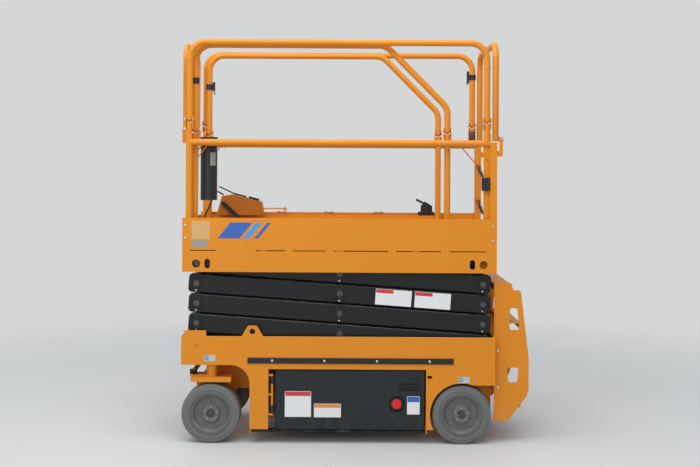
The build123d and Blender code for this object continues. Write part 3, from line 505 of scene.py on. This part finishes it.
def dome_bolt(form, at, direction, radius):
    """Button head with a round socket."""
    section = ((0.15, 1), (0.4, 0.86), (0.55, 0.6), (0.58, 0.42), (0.3, 0.38))
    profile = [(-bolt_sink, radius)] + [(high * radius, wide * radius) for high, wide in section]
    form.turned(profile, toward(at, direction), 20)


def label(name, body, at, size, film, header=None, share=0.0, across=1.0, side=-1, tilt=0.0):
    """A blank sticker of this (width, height) on a wall that faces side.

    Its header fills a share of the height and, across, of the width.
    """
    width, height = size
    margin = 0.002
    face = wall(at, side, tilt)
    sheet = Form()
    sheet.prism(rounded(width, height, 0.0025), film_low, film_high, face)
    sheet.piece(name, film, body, "black_plastic")
    if header:
        band = Form()
        length = width * across - 2 * margin
        shift = ((length - width) / 2 + margin, height * (0.5 - share / 2) - margin, header_lift)
        outline = rounded(length, height * share, 0.001)
        band.prism(outline, film_low, film_high, face @ Matrix.Translation(shift))
        band.piece(name + "_header", header, body, "black_plastic")


def lozenge(form, x, y, z, turn):
    """One raised mark of a grip plate."""
    length, width, rise = 0.026, 0.007, 0.0012
    place = Matrix.Translation((x, y, z)) @ Matrix.Rotation(turn, 4, "Z")
    foot = [(length / 2 * cos(a), width / 2 * sin(a)) for a in (n * tau / 8 for n in range(8))]
    bottom = [form.mesh.verts.new(place @ Vector((u, v, -sink))) for u, v in foot]
    top = [form.mesh.verts.new(place @ Vector((u * 0.72, v * 0.6, rise))) for u, v in foot]
    form.mesh.faces.new(bottom[::-1])
    form.mesh.faces.new(top)
    for n in range(8):
        m = (n + 1) % 8
        form.mesh.faces.new((bottom[n], bottom[m], top[m], top[n]))


def grip_plate(form, x0, x1, y0, y1, z, pitch=0.036):
    """Rows of lozenges that lie crosswise in turn."""
    columns = int((x1 - x0) / pitch)
    rows = int((y1 - y0) / pitch)
    for i in range(columns + 1):
        for j in range(rows + 1):
            x = (x0 + x1) / 2 + (i - columns / 2) * pitch
            y = (y0 + y1) / 2 + (j - rows / 2) * pitch
            lozenge(form, x, y, z, radians(45 if (i + j) % 2 else -45))


# ---------------------------------------------------------------- wheels
tyre_low, tyre_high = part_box("tyre_front_left")
rim_low, rim_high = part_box("rim_front_left")
tyre_r = (tyre_high.z - tyre_low.z) / 2
tyre_half = (tyre_high.y - tyre_low.y) / 2
rim_r = (rim_high.z - rim_low.z) / 2
shoulder = 0.012             # rounding between a tyre's wall and its tread
hub_face = 0.040             # middle of the wheel to the face of its hub
hub_circle = 0.034           # radius of the circle of hub bolts
hub_bolt = 0.0052
nut_foot = 0.0255            # middle of the wheel to the foot of its axle nut
nut_top = 0.036


def tyre_section():
    """Closed section of the solid tyre: (across, radius)."""
    side_wall = [
        (0.0, rim_r), (0.0, rim_r + 0.004), (0.0022, rim_r + 0.006), (0.0022, rim_r + 0.009),
        (0.0, rim_r + 0.011), (0.0, tyre_r - 0.023), (0.0012, tyre_r - 0.021),
    ]
    for n in range(6):
        turn = n * pi / 10
        side_wall.append((0.0012 + shoulder * (1 - cos(turn)), tyre_r - shoulder * (1 - sin(turn))))
    section = [(across - tyre_half, radius) for across, radius in side_wall]
    return section + [(-across, radius) for across, radius in reversed(section)]


for end in ("front", "rear"):
    for side, sign in sides:
        wheel = f"wheel_{end}_{side}"
        out = Vector((0, sign, 0))
        low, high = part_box(f"tyre_{end}_{side}")
        centre = (low + high) / 2
        axle = toward(centre, out)
        form = Form()
        form.turned(tyre_section(), axle, 128, closed=True)
        tyre = form.piece(
            f"solid_tyre_{end}_{side}", finishes["grey_tyre"], wheel, "grey_tyre", crease=50
        )
        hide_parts(f"tyre_{end}_{side}")
        bolts = Form()
        for n in range(5):
            turn = tau * (n / 5 + 0.05)
            spot = Vector((hub_circle * cos(turn), sign * hub_face, hub_circle * sin(turn)))
            hex_bolt(bolts, centre + spot, out, hub_bolt)
        bolts.piece(f"hub_bolts_{end}_{side}", dull_zinc, wheel, "steel")
        nut = Form()
        nut.prism(hexagon(0.036), nut_foot, nut_top, axle)
        nut.turned([(nut_foot, 0.0195), (nut_foot + 0.0015, 0.0195)], axle, 24)
        thread = [(nut_top, 0.0105), (nut_top + 0.004, 0.0105), (nut_top + 0.005, 0.009)]
        nut.turned(thread, axle, 20)
        nut.piece(f"axle_nut_{end}_{side}", blackened, wheel, "steel")

# ---------------------------------------------------------------- scissor stack
layers = 4
arm_face = 0.348             # outer face of the outer arms
boss_floor = 0.350           # foot of the recess in a boss
keeper_drop = 0.0380         # pin to the bolt of its keeper, square to the arm
keeper_bolt = 0.0050
fixed = Vector(joints["scissor_lift"]["pos_m"])
middle = Vector(joints["cross_pivot_1"]["pos_m"])
step_up = Vector(joints["cross_pivot_2"]["pos_m"]) - middle
run = fixed - middle
arm_dir = run.normalized()
arm_up = Vector((-arm_dir.z, 0, arm_dir.x))
if arm_up.z < 0:
    arm_up = -arm_up
arm_tilt = asin(-arm_dir.z)

for n in range(1, layers + 1):
    keepers = Form()
    pin_ends = Form()
    for side, sign in sides:
        out = Vector((0, sign, 0))
        for share in (-1, 0, 1):
            pin = middle + step_up * (n - 1) + run * share
            recess = toward(pin + out * boss_floor, out)
            pin_ends.turned([(-sink, 0.0178), (0.0030, 0.0178), (0.0042, 0.0166)], recess, 32)
            pin_ends.turned([(0.0042, 0.0034), (0.0052, 0.0034), (0.0062, 0.0020)], recess, 12)
            if (n, share) != (1, 1):     # the base pin has no keeper
                keeper = pin - arm_up * keeper_drop + out * arm_face
                hex_bolt(keepers, keeper, out, keeper_bolt)
    keepers.piece(f"keeper_bolts_{n}", zinc, f"outer_arms_{n}", "steel")
    pin_ends.piece(f"pin_ends_{n}", blackened, f"outer_arms_{n}", "steel")


def on_arm(n, x):
    """Place on the left face of outer arm n, on its centre line, at this x."""
    pin = middle + step_up * (n - 1)
    spot = pin + run * ((x - pin.x) / run.x)
    return Vector((x, -arm_face, spot.z))


for n, x in ((1, 0.206), (2, 0.419)):
    label(
        f"arm_plate_{n}", "outer_arms_3", on_arm(3, x), (0.196, 0.086), white_film,
        header=red_film, share=0.23, across=0.5, tilt=arm_tilt,
    )

# oil ports of the lift cylinder
barrel_foot = Vector(joints["barrel_pivot"]["pos_m"])
stroke = Vector(joints["rod_slide"]["axis"]).normalized()
beside = Vector((0, 1, 0)).cross(stroke)
port_r = 0.054               # axis of the barrel to its ports, just inside its skin
ports = Form()
for reach in (0.085, 0.54):
    place = toward(barrel_foot + stroke * reach + beside * port_r, beside)
    ports.prism(hexagon(0.026), -0.004, 0.014, place)
    ports.turned([(0.013, 0.009), (0.030, 0.009), (0.031, 0.008)], place, 20)
ports.piece("cylinder_ports", zinc, "lift_barrel", "steel")

# ---------------------------------------------------------------- chassis
plate_face = 0.374           # outer faces of the side plates, rubbing strips and doors
strip_face = 0.380
door_face = 0.368
strip_bolt_z = 0.4495
strip_bolts = Form()
chassis_bolts = Form()
for side, sign in sides:
    out = Vector((0, sign, 0))
    for x in (-0.449, -0.166, 0.118, 0.403):
        dome_bolt(strip_bolts, Vector((x, sign * strip_face, strip_bolt_z)), out, 0.0072)
    spot = Vector((-0.858, sign * plate_face, 0.541))
    disc = [(-bolt_sink, 0.0135), (0.0022, 0.0135), (0.0030, 0.0120)]
    chassis_bolts.turned(disc, toward(spot, out), 28)
    hex_bolt(chassis_bolts, spot + out * 0.0026, out, 0.0064)
    for x, z in ((0.700, 0.545), (0.735, 0.360)):
        hex_bolt(chassis_bolts, Vector((x, sign * plate_face, z)), out, 0.0058)
strip_bolts.piece("strip_bolts", zinc, "chassis", "steel")
chassis_bolts.piece("chassis_bolts", finishes["orange_paint"], "chassis", "orange_paint")
for side, sign in sides:
    for end, x, z, width in (("front", -0.788, 0.461, 0.062), ("rear", 0.589, 0.3505, 0.060)):
        label(
            f"corner_plate_{end}_{side}", "chassis", (x, sign * plate_face, z), (width, 0.034),
            worn_film, header=slate_film, share=0.8, across=0.45, side=sign,
        )

# doors
modules = (("left", -1, "battery_module"), ("right", 1, "hydraulic_module"))
door_plates = (
    ("battery_module", -1, -0.309, 0.214, (0.142, 0.139), red_film, 0.17),
    ("battery_module", -1, -0.149, 0.180, (0.146, 0.074), amber_film, 0.27),
    ("battery_module", -1, 0.316, 0.210, (0.068, 0.098), blue_film, 0.30),
    ("hydraulic_module", 1, -0.309, 0.214, (0.142, 0.139), red_film, 0.17),
    ("hydraulic_module", 1, 0.316, 0.210, (0.068, 0.098), blue_film, 0.30),
)
for n, (module, sign, x, z, size, header, share) in enumerate(door_plates, 1):
    label(
        f"door_plate_{n}", module, (x, sign * door_face, z), size, white_film,
        header=header, share=share, side=sign,
    )


def off_the_button(finish):
    """1 on the plate under the red head."""
    return finish.step(finish.along("Y"), -0.3705, -0.3695)


button = two_tone("red_head_black_plate", BUTTON_RED, PLATE_BLACK, off_the_button)
refinish("emergency_stop", button)
stop_place = toward(Vector((0.225, -door_face, 0.218)), (0, -1, 0))
collar_section = [
    (-0.0004, 0.0475), (-0.0004, 0.0515), (0.0022, 0.0510), (0.0030, 0.0495), (0.0030, 0.0440),
    (0.0, 0.0425), (-0.010, 0.0425), (-0.010, 0.0475),
]
collar = Form()
collar.turned(collar_section, stop_place, 64, closed=True)
collar.turned([(-0.0138, 0.0472), (-0.0132, 0.0472)], stop_place, 64)
collar.piece("stop_collar", finishes["black_plastic"], "battery_module", "black_plastic")

# door locks and paddle ribs: near-black plates on the door face, their own black with painted shade
# of a recessed lock and paddle
lock_x, lock_z = 0.335, 0.350
paddle_x, paddle_z = 0.288, 0.308
paddle_face = door_face + 0.002
for side, sign, module in modules:
    out = Vector((0, sign, 0))
    lock = Form()
    face = toward(Vector((lock_x, sign * door_face, lock_z)), out)
    lock.prism(rounded(0.046, 0.016, 0.0078), -sink, 0.0012, face)
    lock.turned([(0.0012, 0.0062), (0.0022, 0.0062), (0.0026, 0.0056)], face, 20)
    lock.piece(f"door_lock_{side}", black_and_recess_shade, module, "black_plastic")
    paddle = Form()
    for shift in (-0.005, 0.0, 0.005):
        rib = toward(Vector((paddle_x, sign * paddle_face, paddle_z + shift)), out)
        paddle.prism(rounded(0.050, 0.0018, 0.0008), -sink, 0.0009, rib)
    paddle.piece(f"paddle_ribs_{side}", black_and_recess_shade, module, "black_plastic")

# tops of the batteries
low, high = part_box("battery_pack")
cells = 4
cell_l = (high.x - low.x) / cells
lid_gap = 0.008              # between two lids
lid_h = 0.009
cap_pitch = 0.045
post_x, post_y = 0.062, 0.055    # terminal posts, from the middle of a lid
mid_y = (low.y + high.y) / 2
on_lid = high.z + 0.0085     # foot of what stands on a lid, just inside it
lid_outline = rounded(cell_l - lid_gap, high.y - low.y - lid_gap, 0.010)
cap_section = [(0, 0.016), (0.006, 0.016), (0.009, 0.013), (0.009, 0.004), (0.011, 0.004)]
post_section = [(0, 0.010), (0.005, 0.010), (0.005, 0.0075), (0.018, 0.0070)]
lids = Form()
caps = Form()
posts = Form()
for n in range(cells):
    x = low.x + cell_l * (n + 0.5)
    lids.prism(lid_outline, 0, lid_h, Matrix.Translation((x, mid_y, high.z - sink)))
    for k in (-1, 0, 1):
        caps.turned(cap_section, toward(Vector((x + k * cap_pitch, mid_y, on_lid)), UP), 20)
    for k in (-1, 1):
        at = Vector((x + k * post_x, mid_y + post_y, on_lid))
        posts.turned(post_section, toward(at, UP), 16)
for n in range(cells - 1):   # links from post to post
    at = (low.x + cell_l * (n + 1), mid_y + post_y, on_lid)
    posts.prism(rounded(cell_l - 0.100, 0.018, 0.006), 0.0155, 0.0195, Matrix.Translation(at))
lids.piece(
    "battery_lids", finishes["black_plastic"], "battery_module", "black_plastic", edge=0.0015
)
caps.piece("battery_caps", amber_film, "battery_module", "black_plastic")
posts.piece("battery_posts", zinc, "battery_module", "steel")

# pump motor, its valves and the filler cap on the hydraulic unit
low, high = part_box("hydraulic_pack")
mid_y = (low.y + high.y) / 2
top_z = high.z - sink
motor_section = [(0, 0.056), (0.022, 0.056), (0.024, 0.050), (0.060, 0.050), (0.066, 0.044)]
cap_section = [(0, 0.020), (0.012, 0.020), (0.012, 0.028), (0.028, 0.028), (0.031, 0.025)]
unit = Form()
unit.turned(motor_section, toward(Vector((low.x + 0.14, mid_y, top_z)), UP), 40)
for reach in (0.26, 0.31, 0.36):
    unit.prism(hexagon(0.022), 0, 0.018, Matrix.Translation((low.x + reach, mid_y, top_z)))
unit.piece("pump_motor", finishes["black_paint"], "hydraulic_module", "black_paint")
filler = Form()
filler.turned(cap_section, toward(Vector((high.x - 0.09, mid_y, top_z)), UP), 32)
filler.piece("filler_cap", finishes["black_plastic"], "hydraulic_module", "black_plastic")

# ladder
low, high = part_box("ladder")
chassis_end = 0.758          # where the ladder's sides start
tread_reach = (0.088, 0.147, 0.177, 0.147)   # from there to the treads' outer edges, top first
tread_drop = 0.006           # top of the ladder to its first tread
tread_step = 0.215           # tread to tread
tread_half = 0.290           # half the width of a tread's marks
grips = Form()
for n, reach in enumerate(tread_reach):
    edge = chassis_end + reach
    z = high.z - tread_drop - tread_step * n
    grip_plate(grips, edge - 0.078, edge - 0.012, -tread_half, tread_half, z, 0.030)
grips.piece("ladder_grips", finishes["orange_paint"], "chassis", "orange_paint")
ladder_bolts = Form()
for side, sign in sides:
    for z in (0.500, 0.300):
        hex_bolt(ladder_bolts, Vector((0.780, sign * high.y, z)), (0, sign, 0), 0.007)
ladder_bolts.piece("ladder_bolts", zinc, "chassis", "steel")

# ---------------------------------------------------------------- platform
panel_face = 0.370           # outer face of the side panels
panel_bolts = Form()
for side, sign in sides:
    for x, z in ((-0.9235, 1.181), (-0.9235, 1.111), (0.742, 1.181), (0.742, 1.102)):
        hex_bolt(panel_bolts, Vector((x, sign * panel_face, z)), (0, sign, 0), 0.0062)
panel_bolts.piece("panel_bolts", zinc, "platform", "steel")

label("panel_plate_1", "platform", (-0.840, -panel_face, 1.153), (0.099, 0.100), pale_film)
label("panel_plate_2", "platform", (-0.845, -panel_face, 1.0795), (0.088, 0.038), grey_film)
stripes = ((-0.655, 0.120, blue_film), (-0.560, 0.036, sky_film), (-0.505, 0.022, blue_film))
for n, (x, width, film) in enumerate(stripes, 1):
    for side, sign in sides:
        bar = Form()
        face = wall((x, sign * panel_face, 1.152), sign)
        bar.prism(leaning(width, 0.086, 0.070), film_low, film_high, face)
        bar.piece(f"side_stripe_{n}_{side}", film, "platform", "black_plastic")

# clips along the right toe board
clip_y, clip_z = 0.368, 1.2197
rivet = [(0.003, 0.007), (0.009, 0.006), (0.010, 0.004)]
clips = Form()
for x in (-0.447, -0.160, 0.142):
    plate = rounded(0.064, 0.012, 0.004)
    clips.prism(plate, 0, 0.0035, Matrix.Translation((x, clip_y, clip_z)))
    for shift in (-0.018, 0.018):
        clips.turned(rivet, Matrix.Translation((x + shift, clip_y, clip_z)), 16)
clips.piece("panel_clips", zinc, "platform", "steel")

floor_grip = Form()
grip_plate(floor_grip, 0.555, 0.745, -0.330, 0.330, 1.070)
floor_grip.piece("platform_grips", finishes["orange_paint"], "platform", "orange_paint")
deck_grip = Form()
grip_plate(deck_grip, -0.850, 0.470, -0.262, 0.262, 1.082)
deck_grip.piece("deck_grips", finishes["orange_paint"], "extension", "orange_paint")

# ---------------------------------------------------------------- guard rails
main_y, main_fold_z = 0.348, 1.755       # posts of the platform and their fold hinges
deck_y, deck_fold_z = 0.300, 1.700       # posts of the roll-out deck
main_front_x, main_rear_x = -0.908257, 0.709
deck_front_x, deck_rear_x = -0.882257, 0.499
rear_fold_x, rear_fold_z = 0.788, 1.655  # hinges of the cross frames
front_fold_x, front_fold_z = -0.944257, 1.705
side_lugs = 0.0208           # hinge to the heads of its bolt, along X
rear_lugs = 0.0105           # the same, along Y
front_lug_y = 0.2815

fold_bolts = {"platform": Form(), "extension": Form()}
for carrier, x, y, z in (
    ("platform", main_front_x, main_y, main_fold_z),
    ("platform", main_rear_x, main_y, main_fold_z),
    ("extension", deck_front_x, deck_y, deck_fold_z),
    ("extension", deck_rear_x, deck_y, deck_fold_z),
):
    for side, sign in sides:
        for way in (-1, 1):
            head = Vector((x + way * side_lugs, sign * y, z))
            hex_bolt(fold_bolts[carrier], head, (way, 0, 0), 0.0072)
for side, sign in sides:
    for way in (-1, 1):
        head = Vector((rear_fold_x, sign * main_y + way * rear_lugs, rear_fold_z))
        hex_bolt(fold_bolts["platform"], head, (0, way, 0), 0.0060)
    head = Vector((front_fold_x, sign * front_lug_y, front_fold_z))
    hex_bolt(fold_bolts["extension"], head, (0, sign, 0), 0.0060)
fold_bolts["platform"].piece("fold_bolts_main", zinc, "platform", "steel")
fold_bolts["extension"].piece("fold_bolts_extension", zinc, "extension", "steel")


def post_latch(name, body, x, y, z, way, size=1.0):
    """Spring latch clamped round a post, its lever towards way along X."""
    at = Vector((x, y, z))
    clamp = Form()
    clamp.turned(ring(0.016, 0.0178, 0.0215), toward(at, UP), 32, closed=True)
    lever = Matrix.Translation(at + Vector((way * 0.0265, 0, 0.004)))
    clamp.prism(rounded(0.014, 0.016, 0.003), -0.030 * size, 0.026 * size, lever)
    clamp.prism(rounded(0.010, 0.022, 0.002), 0.012, 0.020, lever)
    tip = toward(at + Vector((way * 0.030, 0, -0.030)), (0, 0, -1))
    clamp.turned([(0, 0.004), (0.014, 0.004), (0.015, 0.003)], tip, 12)
    clamp.piece(name, finishes["black_plastic"], body, "black_plastic", edge=0.001)


post_latch("latch_front_left", "extension_frame_left", deck_front_x, -deck_y, 1.967, -1)
post_latch("latch_front_right", "extension_frame_right", deck_front_x, deck_y, 1.975, 1)
post_latch("latch_rear_right", "main_frame_right", main_rear_x, main_y, 2.045, -1, 1.3)
band = Form()
band_place = toward(Vector((main_rear_x, -main_y, 2.040)), UP)
band.turned(ring(0.005, 0.0175, 0.0188), band_place, 32, closed=True)
band.piece("post_band_left", finishes["orange_paint"], "main_frame_left", "orange_paint")

# braces in the corners of the deck's rail, and the rest that the folded right frame lies on
for side, sign in sides:
    y = sign * deck_y
    route = [(-0.8665, y, 1.548), (-0.8180, y, 1.6135), (-0.7780, y, 1.6135)]
    brace = Form()
    brace.tube(route, 0.0035)
    brace.piece(f"rail_brace_{side}", finishes["orange_paint"], "extension", "orange_paint")
rest_section = [
    (-0.026, 0.0174), (-0.026, 0.0205), (-0.024, 0.0215), (0.024, 0.0215), (0.026, 0.0205),
    (0.026, 0.0174),
]
rest = Form()
rest.turned(rest_section, toward(Vector((main_rear_x, main_y, 1.690)), UP), 32, closed=True)
rest.piece("post_sleeve", rest_rubber, "platform", "black_rubber")

# label of the document tube: a sheet bent round 44 degrees of it
doc_x, doc_y, doc_r = -0.815257, -0.232, 0.046
turns = [radians(-75 + 44 * n / 8) for n in range(9)]
outer = [((doc_r + 0.0005) * cos(a), (doc_r + 0.0005) * sin(a)) for a in turns]
inner = [((doc_r - sink) * cos(a), (doc_r - sink) * sin(a)) for a in reversed(turns)]
sleeve = Form()
sleeve.prism(outer + inner, 1.503, 1.575, Matrix.Translation((doc_x, doc_y, 0)))
sleeve.piece("tube_plate", grey_film, "extension", "black_plastic")


def bar_end(finish):
    """1 on the short bar beside the control bracket."""
    return finish.step(finish.along("X"), -0.556, -0.554)


fittings = two_tone("black_fittings_orange_bar", PLASTIC_BLACK, ORANGE, bar_end)
refinish("control_fittings", fittings)
refinish("entry_chains", blackened)
# the bracket's darker orange is painted shade, not a different paint
refinish("control_bracket", bracket_painted_shade_coat)
# latches in the near-black that adds painted recess shade to their black plastic
refinish("battery_latch", black_and_recess_shade)
refinish("hydraulic_latch", black_and_recess_shade)

# ---------------------------------------------------------------- edges of the CAD pieces
rims = [f"rim_{end}_{side}" for end in ("front", "rear") for side in ("left", "right")]
for width, softened in (
    (0.0008, ["extension_deck"]),
    (0.0010, ["battery_latch", "hydraulic_latch", "platform", "tie_rod", "rear_frame"]),
    (0.0012, ["control_bracket", "bulkheads", "underframe"] + rims),
    (0.0012, ["pothole_guard_left", "pothole_guard_right"]),
    (0.0015, ["ladder", "axle_carriers", "battery_door", "hydraulic_door"]),
    (0.0015, [f"inner_arms_{n}" for n in range(1, layers + 1)]),
    (0.0017, ["side_panels"]),
    (0.0018, ["rub_strips", "deck_lock"]),
    (0.0020, ["gate_socket"]),
    (0.0022, ["entry_chains"]),
    (0.0025, ["chassis"]),
    (0.0026, [f"outer_arms_{n}" for n in range(1, layers + 1)]),
    (0.0028, ["side_plates"]),
    (0.0040, ["battery_pack", "hydraulic_pack"]),
):
    for node in softened:
        soften(node, width)

# ---------------------------------------------------------------- floor, light and camera
BACKDROP = (0.665, 0.675, 0.680, 1.0)
SKY = (0.94, 0.97, 1.0, 1.0)
FLOOR_DARK = (0.60, 0.61, 0.615, 1)
FLOOR_LIGHT = (0.64, 0.65, 0.655, 1)
floor_r = 24
floor_fade = (1.9, 5.2)      # where the floor starts to fade, and where it has gone

floor = Form()
rim = [(floor_r * cos(n * tau / 96), floor_r * sin(n * tau / 96), 0) for n in range(96)]
floor.mesh.faces.new([floor.mesh.verts.new(point) for point in rim])
sheet = bpy.data.meshes.new("studio_floor")
floor.mesh.to_mesh(sheet)
ground = Finish("studio_floor")
away = ground.add("ShaderNodeVectorMath", {"operation": "LENGTH"}, {0: ground.where}, "Value")
tone = ground.blend(ground.noise(1.5, 3.0), FLOOR_DARK, FLOOR_LIGHT)
lit = ground.add("ShaderNodeBsdfPrincipled", {}, {"Base Color": tone, "Roughness": 0.55})
gone = ground.add("ShaderNodeBsdfTransparent")
faded = ground.add("ShaderNodeMixShader", {}, {0: ground.step(away, *floor_fade), 1: lit, 2: gone})
end = ground.tree.nodes.new("ShaderNodeOutputMaterial")
ground.tree.links.new(faded.socket, end.inputs["Surface"])
sheet.materials.append(ground.material)
studio_floor = bpy.data.objects.new("studio_floor", sheet)
bpy.context.scene.collection.objects.link(studio_floor)

# the sky lights the machine; the camera, mirrors and clear things see the backdrop instead
world = bpy.data.worlds.new("studio")
world.use_nodes = True
sky = world.node_tree
sky.nodes.clear()
path = sky.nodes.new("ShaderNodeLightPath")
seen = path.outputs["Is Camera Ray"]
for ray in ("Is Glossy Ray", "Is Transmission Ray"):
    either = sky.nodes.new("ShaderNodeMath")
    either.operation = "MAXIMUM"
    sky.links.new(seen, either.inputs[0])
    sky.links.new(path.outputs[ray], either.inputs[1])
    seen = either.outputs[0]
glow = sky.nodes.new("ShaderNodeBackground")
glow.inputs["Color"].default_value = SKY
glow.inputs["Strength"].default_value = 0.66
shown = sky.nodes.new("ShaderNodeBackground")
shown.inputs["Color"].default_value = BACKDROP
mixed = sky.nodes.new("ShaderNodeMixShader")
sky.links.new(seen, mixed.inputs[0])
sky.links.new(glow.outputs[0], mixed.inputs[1])
sky.links.new(shown.outputs[0], mixed.inputs[2])
end = sky.nodes.new("ShaderNodeOutputWorld")
sky.links.new(mixed.outputs[0], end.inputs["Surface"])
bpy.context.scene.world = world


def area_light(name, at, aim, size, power):
    """A rectangular light at a place, turned towards another; power in watts."""
    lamp = bpy.data.lights.new(name, "AREA")
    lamp.shape = "RECTANGLE"
    lamp.size, lamp.size_y = size
    lamp.energy = power
    holder = bpy.data.objects.new(name, lamp)
    holder.location = at
    holder.rotation_euler = (Vector(aim) - Vector(at)).to_track_quat("-Z", "Y").to_euler()
    bpy.context.scene.collection.objects.link(holder)


area_light("ceiling_light", (-0.6, -1.6, 4.6), (0, 0, 1.0), (4.5, 3.0), 145)
area_light("front_light", (-2.6, -5.6, 2.6), (0, 0, 0.9), (3.0, 2.2), 55)

lens = bpy.data.cameras.new("camera")
lens.lens = 55.04
lens.sensor_width = 36
lens.shift_x = 0.0043
lens.shift_y = -0.102
camera = bpy.data.objects.new("camera", lens)
eye = Vector((-0.0504, -6.165, 1.5154))
level = Matrix.Rotation(radians(90.1), 4, "X") @ Matrix.Rotation(radians(0.315), 4, "Z")
camera.matrix_world = Matrix.Translation(eye) @ level
bpy.context.scene.collection.objects.link(camera)
bpy.context.scene.camera = camera
bpy.context.scene.view_settings.view_transform = "Standard"
